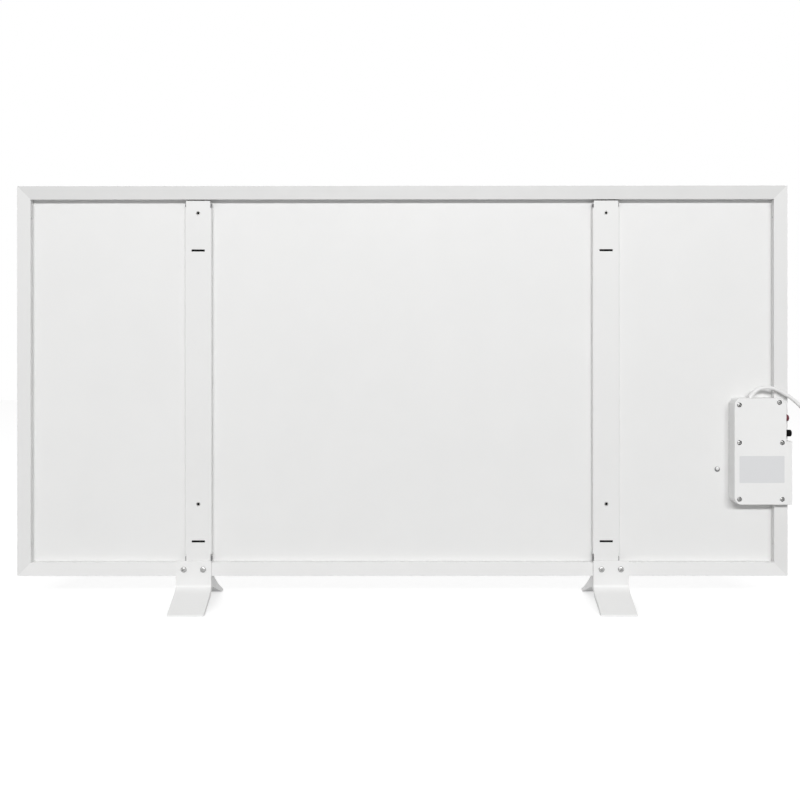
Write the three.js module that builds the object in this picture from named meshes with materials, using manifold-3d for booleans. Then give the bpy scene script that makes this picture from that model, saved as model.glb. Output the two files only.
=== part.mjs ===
// Infrared panel heater on two feet, modelled as it is put together.
// Millimetres. +X to the right of a viewer behind the heater, +Y to the warm room side, +Z up, floor at z = 0.
import * as THREE from "three";
import { mergeVertices } from "three/addons/utils/BufferGeometryUtils.js";
import Module from "manifold-3d";

const wasm = await Module();
wasm.setup();

// ---------------------------------------------------------------- driving dimensions
const PANEL_WIDTH = 1195;
const PANEL_HEIGHT = 605;
const PANEL_DEPTH = 22;
const FLOOR_CLEARANCE = 46; // floor to the underside of the frame
const SEAT_GAP = 0.3; // between pieces that rest on each other
const HOLE_GAP = 0.3; // between a shank and its hole, on the radius

// Frame rail: a rear box chamber with a front lip
const RAIL_FLANGE = 21; // width of the rear face
const RAIL_WALL = 1.6;
const RAIL_LIP = 6; // front lip over the radiating plate
const RECESS = 10.8; // rear face of the frame to the back plate
const MITRE_GAP = 0.3;
const KEY_ARM = 58;
const KEY_HOLE_RADIUS = 1.7;
const KEY_HOLE_OFFSET = 28; // from the inner corner
const KEY_POCKET_RADIUS = 3.2;

// Sheets between the lips and the chamber
const FRONT_SHEET = 1;
const FILM_THICKNESS = 0.6;
const FILM_MARGIN = 24;
const BACK_SHEET = 0.6;

// Back rails: channels that carry the wall hooks
const CHANNEL_WIDTH = 41.5;
const CHANNEL_INSET = 281; // side of the panel to the middle of the channel
const CHANNEL_SHEET = 1.2;
const CHANNEL_SINK = 0.5; // its face behind the rear face of the frame
const CHANNEL_TOP_GAP = 2; // to the frame's inner edges
const CHANNEL_BOTTOM_GAP = 0.4;
const CHANNEL_LIP = 7;
const CHANNEL_BEND = 1.6;
const RELIEF_WIDTH = 1.9;
const RELIEF_TOP = 11; // height of the notches at the top ends
const RELIEF_BOTTOM = 12.4;
const SLOT_LENGTH = 20.5;
const SLOT_HEIGHT = 3.2;
const SLOT_FROM_TOP = 79; // frame's inner edge to the upper slot
const SLOT_FROM_BOTTOM = 32.5;
const INSERT_ABOVE_SLOT = 58;
const INSERT_BORE = 1.7;
const INSERT_BODY = 2.5;
const INSERT_FLANGE = 3.3;
const INSERT_RIM = 0.9; // thickness of its flange
const INSERT_LENGTH = 6;

// Stud on the back plate
const STUD_INSET = 105.5; // side of the panel to the stud
const STUD_Z = 164;
const STUD_RADIUS = 4;
const STUD_HEIGHT = 1.8;

// Feet: one extrusion with a tab, a short rear leg and a long front leg
const FOOT_WIDTH = 55;
const FOOT_TAB = 3.5; // thickness of the tab behind the frame
const FOOT_TAB_HEIGHT = 23.6; // above the underside of the frame
const FOOT_TAB_CHAMFER = 0.8;
const FOOT_REAR_REACH = 60;
const FOOT_FRONT_REACH = 95;
const FOOT_REAR_PAD = 9; // flat length on the floor
const FOOT_FRONT_PAD = 10;
const FOOT_KNEE = 33; // height at which the rear leg starts to bend out
const FOOT_BEND = [12, 11.5]; // its bend: how far out and how far down
const FOOT_ARCH = [0, 25]; // top of the hollow between the legs
const FOOT_SHOULDER = 12; // depth at which the front leg leaves the underside of the frame
const FOOT_SCREW_PITCH = 30;
const FOOT_SCREW_HEIGHT = 10.9;
const FOOT_SCREW_HEAD = 4.5;
const FOOT_SCREW_HEAD_HEIGHT = 2.6;
const FOOT_SCREW_SHANK = 2;
const FOOT_SCREW_LENGTH = 11;
const NUT_PLATE_LENGTH = 46;
const NUT_PLATE_HEIGHT = 13;
const NUT_PLATE_THICKNESS = 3.5;

// Control box
const BOX_WIDTH = 88.8;
const BOX_HEIGHT = 163.5;
const BOX_BOTTOM = 112.5; // above the underside of the frame
const BOX_OVERHANG = 1.3; // beyond the side of the frame
const BOX_PROUD = 15; // its face behind the rear face of the frame
const BOX_WALL = 2.2;
const BOX_SEAM = 6; // joint line behind the rear face of the frame
const BOX_RECESS_WIDTH = 8.8; // upper right side set in from the lower
const BOX_STEP_SHARE = 0.596; // the wide lower part's share of its height
const BOX_CORNER = 11;
const BOX_TOP_RIGHT_CORNER = 16;
const BOX_EDGE = 1;
const LID_BOSS = 5.4;
const LID_COUNTERBORE = 3.8;
const LID_COUNTERBORE_DEPTH = 3.2;
const LID_SCREW_HEAD = 3.2;
const LID_SCREW_HEAD_HEIGHT = 2;
const LID_SCREW_SHANK = 1.4;
const LID_SCREW_LENGTH = 9;
const BASE_BOSS = 4;
const POCKET_WALL = 1.4; // thinned walls round the lamp and the button
// Lid screws as distances from the nearest edges of the box's outline
const LID_SCREW_PLACES = {
  top_left: { left: 7.6, top: 10.3 },
  top_right: { side: 10.8, top: 6.5 },
  middle_left: { left: 7.8, step: 2.3 },
  middle_right: { right: 15.4, step: 2.3 },
  bottom_left: { left: 7.6, bottom: 8.4 },
  bottom_right: { right: 15.4, bottom: 8.4 },
};

// Lamp and button on the set-in side of the box
const CONTROL_DEPTH = 7.5; // their axes behind the rear face of the frame
const LAMP_SHARE = 0.535; // of the way from the step to the top of the box
const LAMP_RADIUS = 5.4;
const LAMP_PROUD = 7;
const LAMP_COLLAR = 3.6; // straight part under the dome
const LAMP_BODY_RADIUS = 4.1;
const LAMP_BODY_LENGTH = 14;
const BUTTON_SHARE = 0.181; // of the way from the step to the top of the box
const BUTTON_RADIUS = 5.2;
const BUTTON_PROUD = 10.6;
const BUTTON_EDGE = 1.2;
const BUTTON_TRAVEL = 2;
const BUTTON_COLLAR = 0.6; // collar beyond the cap, on the radius
const BUTTON_COLLAR_LENGTH = 1.2;
const BUTTON_STEM_RADIUS = 1.6;
const BUTTON_STEM_LENGTH = 10;
const SWITCH_SIDE = 10.6;
const SWITCH_LENGTH = 12;
const SPRING_WIRE = 0.35;
const SPRING_RADIUS = 2.7;
const SPRING_TURNS = 3;
const SPRING_STEPS = 8;
const SPRING_SIDES = 5;

// Inside the box
const BOARD_THICKNESS = 1.6;
const BOARD_LEFT = 13.5;
const BOARD_RIGHT = 27.3; // its clearance to the right side of the box
const BOARD_BOTTOM = 18;
const BOARD_CLEAR = 11.5; // top of the board to the cord clamp
const BOARD_POST_INSET = 4;
const BOARD_POST = 3;
const BOARD_POST_RADIUS = 2.2;
const BOX_SCREW_SHANK = 1.7;
const BOX_SCREW_HEAD = 3.3;
const BOX_SCREW_HEAD_HEIGHT = 1.8;
const BOX_SCREW_LENGTH = 6.5;
const BOX_SCREW_PLACES = { upper: { right: 42.3, top: 8 }, lower: { left: 37, bottom: 8 } };
// Parts on the board as shares of its width and height, and their depth
const RELAY = { across: [0.53, 0.93], up: [0.24, 0.52], depth: 15 };
const POWER_MODULE = { across: [0.04, 0.46], up: [0.14, 0.44], depth: 13 };
const LEAD_RADIUS = 1.1;
const LEAD_SPACING = 3.6;
const LEAD_PLACE = { left: 22, bottom: 8.5 }; // between the two leads
const LEAD_LOOP = 4.5;
const GROMMET_RADIUS = 4.6;
const GROMMET_RIM = 1;
const CUTOUT_PLACE = { right: 35.8, top: 18 };
const CUTOUT_RADIUS = 7.5;
const CUTOUT_THICKNESS = 5;

// Power cord
const CORD_RADIUS = 2.9;
const CORD_SIDES = 10;
const CORD_STEPS = 50;
const CORD_PLACE = 28; // from the left side of the box
const CORD_DEPTH = 4.5; // its axis behind the rear face of the frame
const GLAND_RADIUS = 5;
const GLAND_RIM = 1;
const GLAND_LENGTH = 12;
const GLAND_WELL = 1.6; // the tilted end of the cord stands in it
const CLAMP_DROP = 30; // top of the box to the middle of the clamp
const CLAMP_WIDTH = 34;
const CLAMP_HEIGHT = 8;
const CLAMP_ROOF = 2.4;
const TERMINAL_WIDTH = 30;
const TERMINAL_HEIGHT = 20;
const TERMINAL_DEPTH = 12;
const TERMINAL_DROP = 12; // below the clamp
const TERMINAL_SCREW_RADIUS = 2;
const COIL_CLEAR = 217.5; // side of the panel to the middle of the coil
const COIL_MEAN_RADIUS = 35;
const COIL_TURNS = 3; // in each of the two layers
const COIL_PITCH = 6.9; // from one turn to the next
const COIL_LAYER = 6.4; // from one layer to the next
const COIL_EASE = 0.12; // of a turn, over which the spiral reverses
const COIL_STEPS = 24; // a turn
const COIL_SIDES = 6;
const PLUG_RADIUS = 18.5;
const PLUG_BODY_LENGTH = 22;
const PLUG_TAPER_LENGTH = 24;
const PLUG_NECK_RADIUS = 5.5;
const PLUG_FACE_DEPTH = 3;
const PLUG_DISTANCE = 62; // end of the coil to the plug
const PIN_RADIUS = 2.4;
const PIN_LENGTH = 19;
const PIN_SPACING = 19;

// ---------------------------------------------------------------- places worked out from them
const REAR_FACE_Y = (FOOT_REAR_REACH - FOOT_FRONT_REACH) / 2; // so that the feet stand evenly about y = 0
const HALF_WIDTH = PANEL_WIDTH / 2;
const INNER_X = HALF_WIDTH - RAIL_FLANGE; // frame's inner edges
const INNER_BOTTOM = RAIL_FLANGE;
const INNER_TOP = PANEL_HEIGHT - RAIL_FLANGE;
const LIP_BACK = PANEL_DEPTH - RAIL_WALL;
const FRONT_SHEET_BACK = LIP_BACK - SEAT_GAP - FRONT_SHEET;
const FILM_BACK = FRONT_SHEET_BACK - SEAT_GAP - FILM_THICKNESS;
const BACK_SHEET_FRONT = RECESS + BACK_SHEET;
const CHANNEL_X = HALF_WIDTH - CHANNEL_INSET;
const FOOT_X = CHANNEL_X - CHANNEL_WIDTH / 2 + FOOT_WIDTH / 2; // inner sides of foot and channel line up
const STUD_X = HALF_WIDTH - STUD_INSET;
const BOX_RIGHT = HALF_WIDTH + BOX_OVERHANG;
const BOX_LEFT = BOX_RIGHT - BOX_WIDTH;
const BOX_SIDE_X = BOX_RIGHT - BOX_RECESS_WIDTH; // the set-in side
const BOX_TOP = BOX_BOTTOM + BOX_HEIGHT;
const BOX_STEP_Z = BOX_BOTTOM + BOX_STEP_SHARE * BOX_HEIGHT;
const BOX_FLOOR = RECESS - SEAT_GAP; // where the base rests on the back plate
const BOX_SHOULDER_X = INNER_X - SEAT_GAP; // beyond it the base lies over the frame
const BASE_FLOOR_TOP = BOX_FLOOR - BOX_WALL;
const LID_INSIDE = -BOX_PROUD + BOX_WALL;
const BOARD_BACK = BASE_FLOOR_TOP - BOARD_POST - BOARD_THICKNESS;
const BOARD_WIDTH = BOX_WIDTH - BOARD_LEFT - BOARD_RIGHT;
const BOARD_HEIGHT = BOX_HEIGHT - CLAMP_DROP - CLAMP_HEIGHT / 2 - BOARD_CLEAR - BOARD_BOTTOM;
const CORD_X = BOX_LEFT + CORD_PLACE;

// ---------------------------------------------------------------- finishes
const finish = (color, roughness, metalness = 0) =>
  new THREE.MeshStandardMaterial({ color, roughness, metalness });
const whitePaint = finish(0xe6e6e4, 0.5);
const whitePlastic = finish(0xe9e9e7, 0.45);
const zinc = finish(0x9a9a98, 0.4, 0.9);
const castAluminium = finish(0xa8a8a6, 0.5, 0.9);
const cordGrey = finish(0xdedddb, 0.55);
const blackPlastic = finish(0x161616, 0.4);
const redLens = finish(0x5a1010, 0.2);
const filmBlack = finish(0x2a2a2c, 0.7);
const mineralWool = finish(0xb9ad7a, 0.95);
const boardGreen = finish(0x2c6b45, 0.5);
const relayBlue = finish(0x2d5f9a, 0.45);
const nickel = finish(0xc4c2bc, 0.3, 1);
const leadRed = finish(0xa03028, 0.5);

// ---------------------------------------------------------------- geometry helpers
function toSolid(geometry) {
  const bare = new THREE.BufferGeometry();
  bare.setAttribute("position", geometry.getAttribute("position"));
  if (geometry.index) bare.setIndex(geometry.index);
  const merged = mergeVertices(bare, 1e-4);
  const mesh = new wasm.Mesh({
    numProp: 3,
    vertProperties: merged.attributes.position.array,
    triVerts: new Uint32Array(merged.index.array),
  });
  return new wasm.Manifold(mesh);
}

function toGeometry(solid) {
  const mesh = solid.getMesh();
  const geometry = new THREE.BufferGeometry();
  geometry.setAttribute("position", new THREE.BufferAttribute(mesh.vertProperties, 3));
  geometry.setIndex(new THREE.BufferAttribute(mesh.triVerts, 1));
  return geometry;
}

function cut(body, tools) {
  return toGeometry(tools.reduce((solid, tool) => solid.subtract(toSolid(tool)), toSolid(body)));
}

function join(bodies) {
  return toGeometry(bodies.map(toSolid).reduce((all, solid) => all.add(solid)));
}

function keep(body, region) {
  return toGeometry(toSolid(body).intersect(toSolid(region)));
}

function block([x0, x1], [y0, y1], [z0, z1]) {
  const box = new THREE.BoxGeometry(x1 - x0, y1 - y0, z1 - z0);
  return box.translate((x0 + x1) / 2, (y0 + y1) / 2, (z0 + z1) / 2);
}

// Round bars along one axis, from one place on it to the other
function rodX(radius, [x0, x1], y, z, sides = 20) {
  return new THREE.CylinderGeometry(radius, radius, x1 - x0, sides)
    .rotateZ(Math.PI / 2)
    .translate((x0 + x1) / 2, y, z);
}

function rodY(radius, x, [y0, y1], z, sides = 20) {
  return new THREE.CylinderGeometry(radius, radius, y1 - y0, sides).translate(x, (y0 + y1) / 2, z);
}

function rodZ(radius, x, y, [z0, z1], sides = 20) {
  return new THREE.CylinderGeometry(radius, radius, z1 - z0, sides)
    .rotateX(Math.PI / 2)
    .translate(x, y, (z0 + z1) / 2);
}

function polygon(points) {
  return new THREE.Shape(points.map(([x, y]) => new THREE.Vector2(x, y)));
}

const EXTRUDED_ACROSS = new THREE.Matrix4().makeBasis(
  new THREE.Vector3(0, 1, 0),
  new THREE.Vector3(0, 0, 1),
  new THREE.Vector3(1, 0, 0),
);

// A section drawn in (depth, height), extruded along X and centred on x = 0
function extrudeX(section, length, curveSegments = 8) {
  return new THREE.ExtrudeGeometry(section, { depth: length, bevelEnabled: false, curveSegments })
    .translate(0, 0, -length / 2)
    .applyMatrix4(EXTRUDED_ACROSS);
}

// An outline drawn in (x, z), extruded between two depths
function extrudeY(outline, [y0, y1], options = {}) {
  const settings = { depth: y1 - y0, bevelEnabled: false, curveSegments: 6, ...options };
  return new THREE.ExtrudeGeometry(outline, settings).rotateX(Math.PI / 2).translate(0, y1, 0);
}

// A profile of [radius, along] points turned about Y
function turned(profile, sides = 16) {
  return new THREE.LatheGeometry(
    profile.map(([radius, along]) => new THREE.Vector2(radius, along)),
    sides,
  );
}

function disc(radius, sides) {
  const outline = new THREE.Shape();
  for (let i = 0; i < sides; i++) {
    const angle = (2 * Math.PI * i) / sides;
    const place = [radius * Math.cos(angle), radius * Math.sin(angle)];
    if (i) outline.lineTo(...place);
    else outline.moveTo(...place);
  }
  outline.closePath();
  return outline;
}

function tube(path, radius, sides, steps) {
  return new THREE.ExtrudeGeometry(disc(radius, sides), { steps, extrudePath: path, bevelEnabled: false });
}

function smoothPath(points) {
  return new THREE.CatmullRomCurve3(points.map((p) => new THREE.Vector3(...p)), false, "centripetal");
}

// A cross-recessed screw: its head stands on y = 0 towards -Y, its shank runs towards +Y
function screw(headRadius, headHeight, shankRadius, length, domed = true) {
  const shoulder = domed ? headHeight * 0.45 : headHeight * 0.85;
  const crown = domed ? headRadius * 0.6 : headRadius * 0.88;
  const body = turned(
    [
      [0, -headHeight],
      [crown, -headHeight],
      [headRadius, -shoulder],
      [headRadius, 0],
      [shankRadius, 0],
      [shankRadius, length - shankRadius],
      [shankRadius * 0.3, length],
      [0, length],
    ],
    12,
  );
  const arm = headRadius * 0.52;
  const web = headRadius * 0.12;
  const recess = [-headHeight - 1, -headHeight * 0.45];
  return cut(body, [block([-arm, arm], recess, [-web, web]), block([-web, web], recess, [-arm, arm])]);
}

const heater = new THREE.Group();
const panel = new THREE.Group(); // x from the centre, y from the frame's rear face, z from its underside
panel.position.set(0, REAR_FACE_Y, FLOOR_CLEARANCE);
heater.add(panel);

function place(name, geometry, material, position = [0, 0, 0], rotation = [0, 0, 0], parent = panel) {
  const mesh = new THREE.Mesh(geometry, material);
  mesh.name = name;
  mesh.position.set(...position);
  mesh.rotation.set(...rotation);
  parent.add(mesh);
  return mesh;
}

// ---------------------------------------------------------------- frame
function railSection() {
  const section = polygon([
    [0, 0],
    [PANEL_DEPTH, 0],
    [PANEL_DEPTH, RAIL_LIP],
    [LIP_BACK, RAIL_LIP],
    [LIP_BACK, RAIL_WALL],
    [RECESS - SEAT_GAP, RAIL_WALL],
    [RECESS - SEAT_GAP, RAIL_FLANGE],
    [0, RAIL_FLANGE],
  ]);
  const chamber = polygon([
    [RAIL_WALL, RAIL_WALL],
    [RAIL_WALL, RAIL_FLANGE - RAIL_WALL],
    [RECESS - SEAT_GAP - RAIL_WALL, RAIL_FLANGE - RAIL_WALL],
    [RECESS - SEAT_GAP - RAIL_WALL, RAIL_WALL],
  ]);
  section.holes.push(chamber);
  return section;
}

// Along X with its outer face on z = 0 and both ends cut back at 45 degrees
function mitredRail(length) {
  const rail = extrudeX(railSection(), length);
  const position = rail.getAttribute("position");
  for (let i = 0; i < position.count; i++) {
    const x = position.getX(i);
    const shortened = position.getZ(i) + MITRE_GAP / Math.SQRT2;
    position.setX(i, x - Math.sign(x) * shortened);
  }
  return rail;
}

function bottomRail() {
  const holes = [];
  for (const side of [-1, 1]) {
    for (const end of [-1, 1]) {
      const x = side * FOOT_X + (end * FOOT_SCREW_PITCH) / 2;
      holes.push(rodY(FOOT_SCREW_SHANK + HOLE_GAP, x, [-1, RAIL_WALL + 1], FOOT_SCREW_HEIGHT, 16));
    }
  }
  return cut(mitredRail(PANEL_WIDTH), holes);
}

function sideRail() {
  const reach = PANEL_HEIGHT / 2 - RAIL_FLANGE - KEY_HOLE_OFFSET;
  const wall = [RAIL_FLANGE - RAIL_WALL - 1, RAIL_FLANGE + 1];
  const depth = (RECESS - SEAT_GAP) / 2;
  const holes = [-reach, reach].map((x) => rodZ(KEY_HOLE_RADIUS, x, depth, wall, 12));
  return cut(mitredRail(PANEL_HEIGHT), holes);
}

function cornerKey() {
  const inner = RAIL_FLANGE - RAIL_WALL - SEAT_GAP;
  const outer = RAIL_WALL + SEAT_GAP;
  const chamfer = 3;
  const outline = polygon([
    [outer, outer],
    [KEY_ARM - chamfer, outer],
    [KEY_ARM, outer + chamfer],
    [KEY_ARM, inner],
    [inner, inner],
    [inner, KEY_ARM],
    [outer + chamfer, KEY_ARM],
    [outer, KEY_ARM - chamfer],
  ]);
  const depth = [RAIL_WALL + SEAT_GAP, RECESS - 2 * SEAT_GAP - RAIL_WALL];
  const middle = (inner + outer) / 2;
  const pockets = [inner + 9, inner + 24].flatMap((along) => [
    rodY(KEY_POCKET_RADIUS, along, [-1, RECESS], middle, 12),
    rodY(KEY_POCKET_RADIUS, middle, [-1, RECESS], along, 12),
  ]);
  return cut(extrudeY(outline, depth), pockets);
}

function addFrame() {
  const quarter = Math.PI / 2;
  const halfHeight = PANEL_HEIGHT / 2;
  const side = sideRail();
  place("frame_bottom", bottomRail(), whitePaint);
  place("frame_top", mitredRail(PANEL_WIDTH), whitePaint, [0, 0, PANEL_HEIGHT], [0, 2 * quarter, 0]);
  place("frame_left", side, whitePaint, [-HALF_WIDTH, 0, halfHeight], [0, quarter, 0]);
  place("frame_right", side, whitePaint, [HALF_WIDTH, 0, halfHeight], [0, -quarter, 0]);
  const key = cornerKey();
  place("corner_key_bottom_left", key, castAluminium, [-HALF_WIDTH, 0, 0]);
  place("corner_key_top_left", key, castAluminium, [-HALF_WIDTH, 0, PANEL_HEIGHT], [0, quarter, 0]);
  place("corner_key_top_right", key, castAluminium, [HALF_WIDTH, 0, PANEL_HEIGHT], [0, 2 * quarter, 0]);
  place("corner_key_bottom_right", key, castAluminium, [HALF_WIDTH, 0, 0], [0, -quarter, 0]);
}

// ---------------------------------------------------------------- sheets
function sheet(margin, [y0, y1]) {
  const x = HALF_WIDTH - RAIL_WALL - margin;
  const z = RAIL_WALL + margin;
  return block([-x, x], [y0, y1], [z, PANEL_HEIGHT - z]);
}

// x and z of a place given by its distances from two edges of the box's outline
function boxPlace({ left, side, right, bottom, step, top }) {
  const fromRight = side === undefined ? BOX_RIGHT - right : BOX_SIDE_X - side;
  const fromAbove = step === undefined ? BOX_TOP - top : BOX_STEP_Z - step;
  return [
    left === undefined ? fromRight : BOX_LEFT + left,
    bottom === undefined ? fromAbove : BOX_BOTTOM + bottom,
  ];
}

function boxScrewHoles(depth) {
  return Object.values(BOX_SCREW_PLACES).map((spot) => {
    const [x, z] = boxPlace(spot);
    return rodY(BOX_SCREW_SHANK + HOLE_GAP, x, depth, z, 12);
  });
}

function leadHole(depth) {
  const [x, z] = boxPlace(LEAD_PLACE);
  return rodY(GROMMET_RADIUS + HOLE_GAP, x, depth, z, 16);
}

function addSheets() {
  const through = [RECESS - 1, FILM_BACK + 1];
  const openings = [...boxScrewHoles(through), leadHole(through)];
  const studHole = rodY(STUD_RADIUS / 2 + HOLE_GAP, STUD_X, through, STUD_Z, 12);
  place("front_panel", sheet(SEAT_GAP, [FRONT_SHEET_BACK, LIP_BACK - SEAT_GAP]), whitePaint);
  place("heating_film", sheet(FILM_MARGIN, [FILM_BACK, FRONT_SHEET_BACK - SEAT_GAP]), filmBlack);
  const board = sheet(2 * SEAT_GAP, [BACK_SHEET_FRONT + SEAT_GAP, FILM_BACK - SEAT_GAP]);
  place("insulation_board", cut(board, [...openings, studHole]), mineralWool);
  const plate = sheet(SEAT_GAP, [RECESS, BACK_SHEET_FRONT]);
  place("back_plate", cut(plate, [...openings, studHole]), whitePaint);
}

function addPlateStud() {
  const shank = STUD_RADIUS / 2;
  const profile = [
    [0, -STUD_HEIGHT],
    [STUD_RADIUS * 0.55, -STUD_HEIGHT * 0.9],
    [STUD_RADIUS * 0.9, -STUD_HEIGHT * 0.45],
    [STUD_RADIUS, 0],
    [shank, 0],
    [shank, BACK_SHEET + SEAT_GAP + 2],
    [0, BACK_SHEET + SEAT_GAP + 2],
  ];
  place("plate_stud", turned(profile), whitePaint, [STUD_X, RECESS - SEAT_GAP, STUD_Z]);
}

// ---------------------------------------------------------------- back rails
const CHANNEL_ENDS = [INNER_BOTTOM + CHANNEL_BOTTOM_GAP, INNER_TOP - CHANNEL_TOP_GAP];
const SLOT_HEIGHTS = [INNER_BOTTOM + SLOT_FROM_BOTTOM, INNER_TOP - SLOT_FROM_TOP];

function channelSection() {
  const half = CHANNEL_WIDTH / 2;
  const back = CHANNEL_SINK;
  const front = RECESS - SEAT_GAP;
  const section = new THREE.Shape();
  section.moveTo(-half, front);
  section.lineTo(-half, back + CHANNEL_BEND);
  section.absarc(-half + CHANNEL_BEND, back + CHANNEL_BEND, CHANNEL_BEND, Math.PI, 1.5 * Math.PI, false);
  section.absarc(half - CHANNEL_BEND, back + CHANNEL_BEND, CHANNEL_BEND, 1.5 * Math.PI, 2 * Math.PI, false);
  section.lineTo(half, front);
  section.lineTo(half - CHANNEL_LIP, front);
  section.lineTo(half - CHANNEL_LIP, front - CHANNEL_SHEET);
  section.lineTo(half - CHANNEL_SHEET, front - CHANNEL_SHEET);
  section.lineTo(half - CHANNEL_SHEET, back + CHANNEL_SHEET);
  section.lineTo(-half + CHANNEL_SHEET, back + CHANNEL_SHEET);
  section.lineTo(-half + CHANNEL_SHEET, front - CHANNEL_SHEET);
  section.lineTo(-half + CHANNEL_LIP, front - CHANNEL_SHEET);
  section.lineTo(-half + CHANNEL_LIP, front);
  return section;
}

function backRail() {
  const [bottom, top] = CHANNEL_ENDS;
  const channel = new THREE.ExtrudeGeometry(channelSection(), {
    depth: top - bottom,
    bevelEnabled: false,
    curveSegments: 3,
  }).translate(0, 0, bottom);
  const through = [-1, CHANNEL_SINK + CHANNEL_SHEET + 1];
  const holes = SLOT_HEIGHTS.flatMap((z) => [
    block([-SLOT_LENGTH / 2, SLOT_LENGTH / 2], through, [z - SLOT_HEIGHT / 2, z + SLOT_HEIGHT / 2]),
    rodY(INSERT_BODY + HOLE_GAP, 0, through, z + INSERT_ABOVE_SLOT, 16),
  ]);
  const inside = CHANNEL_WIDTH / 2 - RELIEF_WIDTH;
  const outside = CHANNEL_WIDTH / 2 + 1;
  const notches = [[-outside, -inside], [inside, outside]].flatMap((across) => [
    block(across, [-1, RECESS], [top - RELIEF_TOP, top + 1]),
    block(across, [-1, RECESS], [bottom - 1, bottom + RELIEF_BOTTOM]),
  ]);
  return cut(channel, [...holes, ...notches]);
}

// A threaded insert: flange on the rail's face, body through it, open bore
function railInsert() {
  return turned([
    [INSERT_BORE, INSERT_LENGTH],
    [INSERT_BORE, -INSERT_RIM],
    [INSERT_FLANGE - INSERT_RIM / 2, -INSERT_RIM],
    [INSERT_FLANGE, -INSERT_RIM / 3],
    [INSERT_FLANGE, 0],
    [INSERT_BODY, 0],
    [INSERT_BODY, INSERT_LENGTH],
    [INSERT_BORE, INSERT_LENGTH],
  ]);
}

function addBackRails() {
  const rail = backRail();
  const insert = railInsert();
  for (const [side, sign] of [["left", -1], ["right", 1]]) {
    const x = sign * CHANNEL_X;
    place("back_rail_" + side, rail, whitePaint, [x, 0, 0]);
    for (const [level, slot] of [["lower", 0], ["upper", 1]]) {
      const z = SLOT_HEIGHTS[slot] + INSERT_ABOVE_SLOT;
      place(`rail_insert_${side}_${level}`, insert, zinc, [x, CHANNEL_SINK, z]);
    }
  }
}

// ---------------------------------------------------------------- feet
// Heights here are above the floor, depths from the frame's rear face
function footSection() {
  const tabTop = FLOOR_CLEARANCE + FOOT_TAB_HEIGHT;
  const shelf = FLOOR_CLEARANCE - SEAT_GAP;
  const rear = -FOOT_REAR_REACH;
  const front = FOOT_FRONT_REACH;
  const bendEnd = [-FOOT_TAB - FOOT_BEND[0], FOOT_KNEE - FOOT_BEND[1]];
  const [archDepth, archTop] = FOOT_ARCH;
  const section = new THREE.Shape();
  section.moveTo(0, tabTop);
  section.lineTo(-FOOT_TAB + FOOT_TAB_CHAMFER, tabTop);
  section.lineTo(-FOOT_TAB, tabTop - FOOT_TAB_CHAMFER);
  section.lineTo(-FOOT_TAB, FOOT_KNEE);
  section.quadraticCurveTo(-FOOT_TAB - 1.5, bendEnd[1] + 4.5, ...bendEnd);
  section.quadraticCurveTo(rear * 0.63, 11.5, rear + 1.5, 2.6);
  section.quadraticCurveTo(rear, 1.2, rear, 0);
  section.lineTo(rear + FOOT_REAR_PAD, 0);
  section.quadraticCurveTo(rear * 0.45, 8.5, archDepth - 9, archTop - 9.5);
  section.quadraticCurveTo(archDepth + 3, archTop + 6, archDepth + 19, archTop - 1.5);
  section.quadraticCurveTo(front * 0.56, 11.5, front - FOOT_FRONT_PAD, 0);
  section.lineTo(front, 0);
  section.quadraticCurveTo(front, 2.2, front - 2.5, 3.4);
  section.quadraticCurveTo(front * 0.56, 19, FOOT_SHOULDER, shelf);
  section.lineTo(0, shelf);
  return section;
}

function foot() {
  const rearFace = [-FOOT_TAB - 1, 1];
  const holes = [-1, 1].map((end) =>
    rodY(
      FOOT_SCREW_SHANK + HOLE_GAP,
      (end * FOOT_SCREW_PITCH) / 2,
      rearFace,
      FLOOR_CLEARANCE + FOOT_SCREW_HEIGHT,
      16,
    ),
  );
  return cut(extrudeX(footSection(), FOOT_WIDTH, 7), holes);
}

function nutPlate() {
  const y0 = RAIL_WALL + SEAT_GAP;
  const depth = [y0, y0 + NUT_PLATE_THICKNESS];
  const half = NUT_PLATE_LENGTH / 2;
  const plate = block([-half, half], depth, [-NUT_PLATE_HEIGHT / 2, NUT_PLATE_HEIGHT / 2]);
  const holes = [-1, 1].map((end) =>
    rodY(FOOT_SCREW_SHANK + HOLE_GAP, (end * FOOT_SCREW_PITCH) / 2, [0, RECESS], 0, 16),
  );
  return cut(plate, holes);
}

function addFeet() {
  const footBody = foot();
  const plate = nutPlate();
  const fixing = screw(FOOT_SCREW_HEAD, FOOT_SCREW_HEAD_HEIGHT, FOOT_SCREW_SHANK, FOOT_SCREW_LENGTH);
  for (const [side, sign] of [["left", -1], ["right", 1]]) {
    place("foot_" + side, footBody, whitePaint, [sign * FOOT_X, 0, -FLOOR_CLEARANCE]);
    place("nut_plate_" + side, plate, zinc, [sign * FOOT_X, 0, FOOT_SCREW_HEIGHT]);
    for (const [end, step] of [["outer", 1], ["inner", -1]]) {
      const x = sign * (FOOT_X + (step * FOOT_SCREW_PITCH) / 2);
      place(`foot_screw_${side}_${end}`, fixing, zinc, [x, -FOOT_TAB, FOOT_SCREW_HEIGHT]);
    }
  }
}

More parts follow.
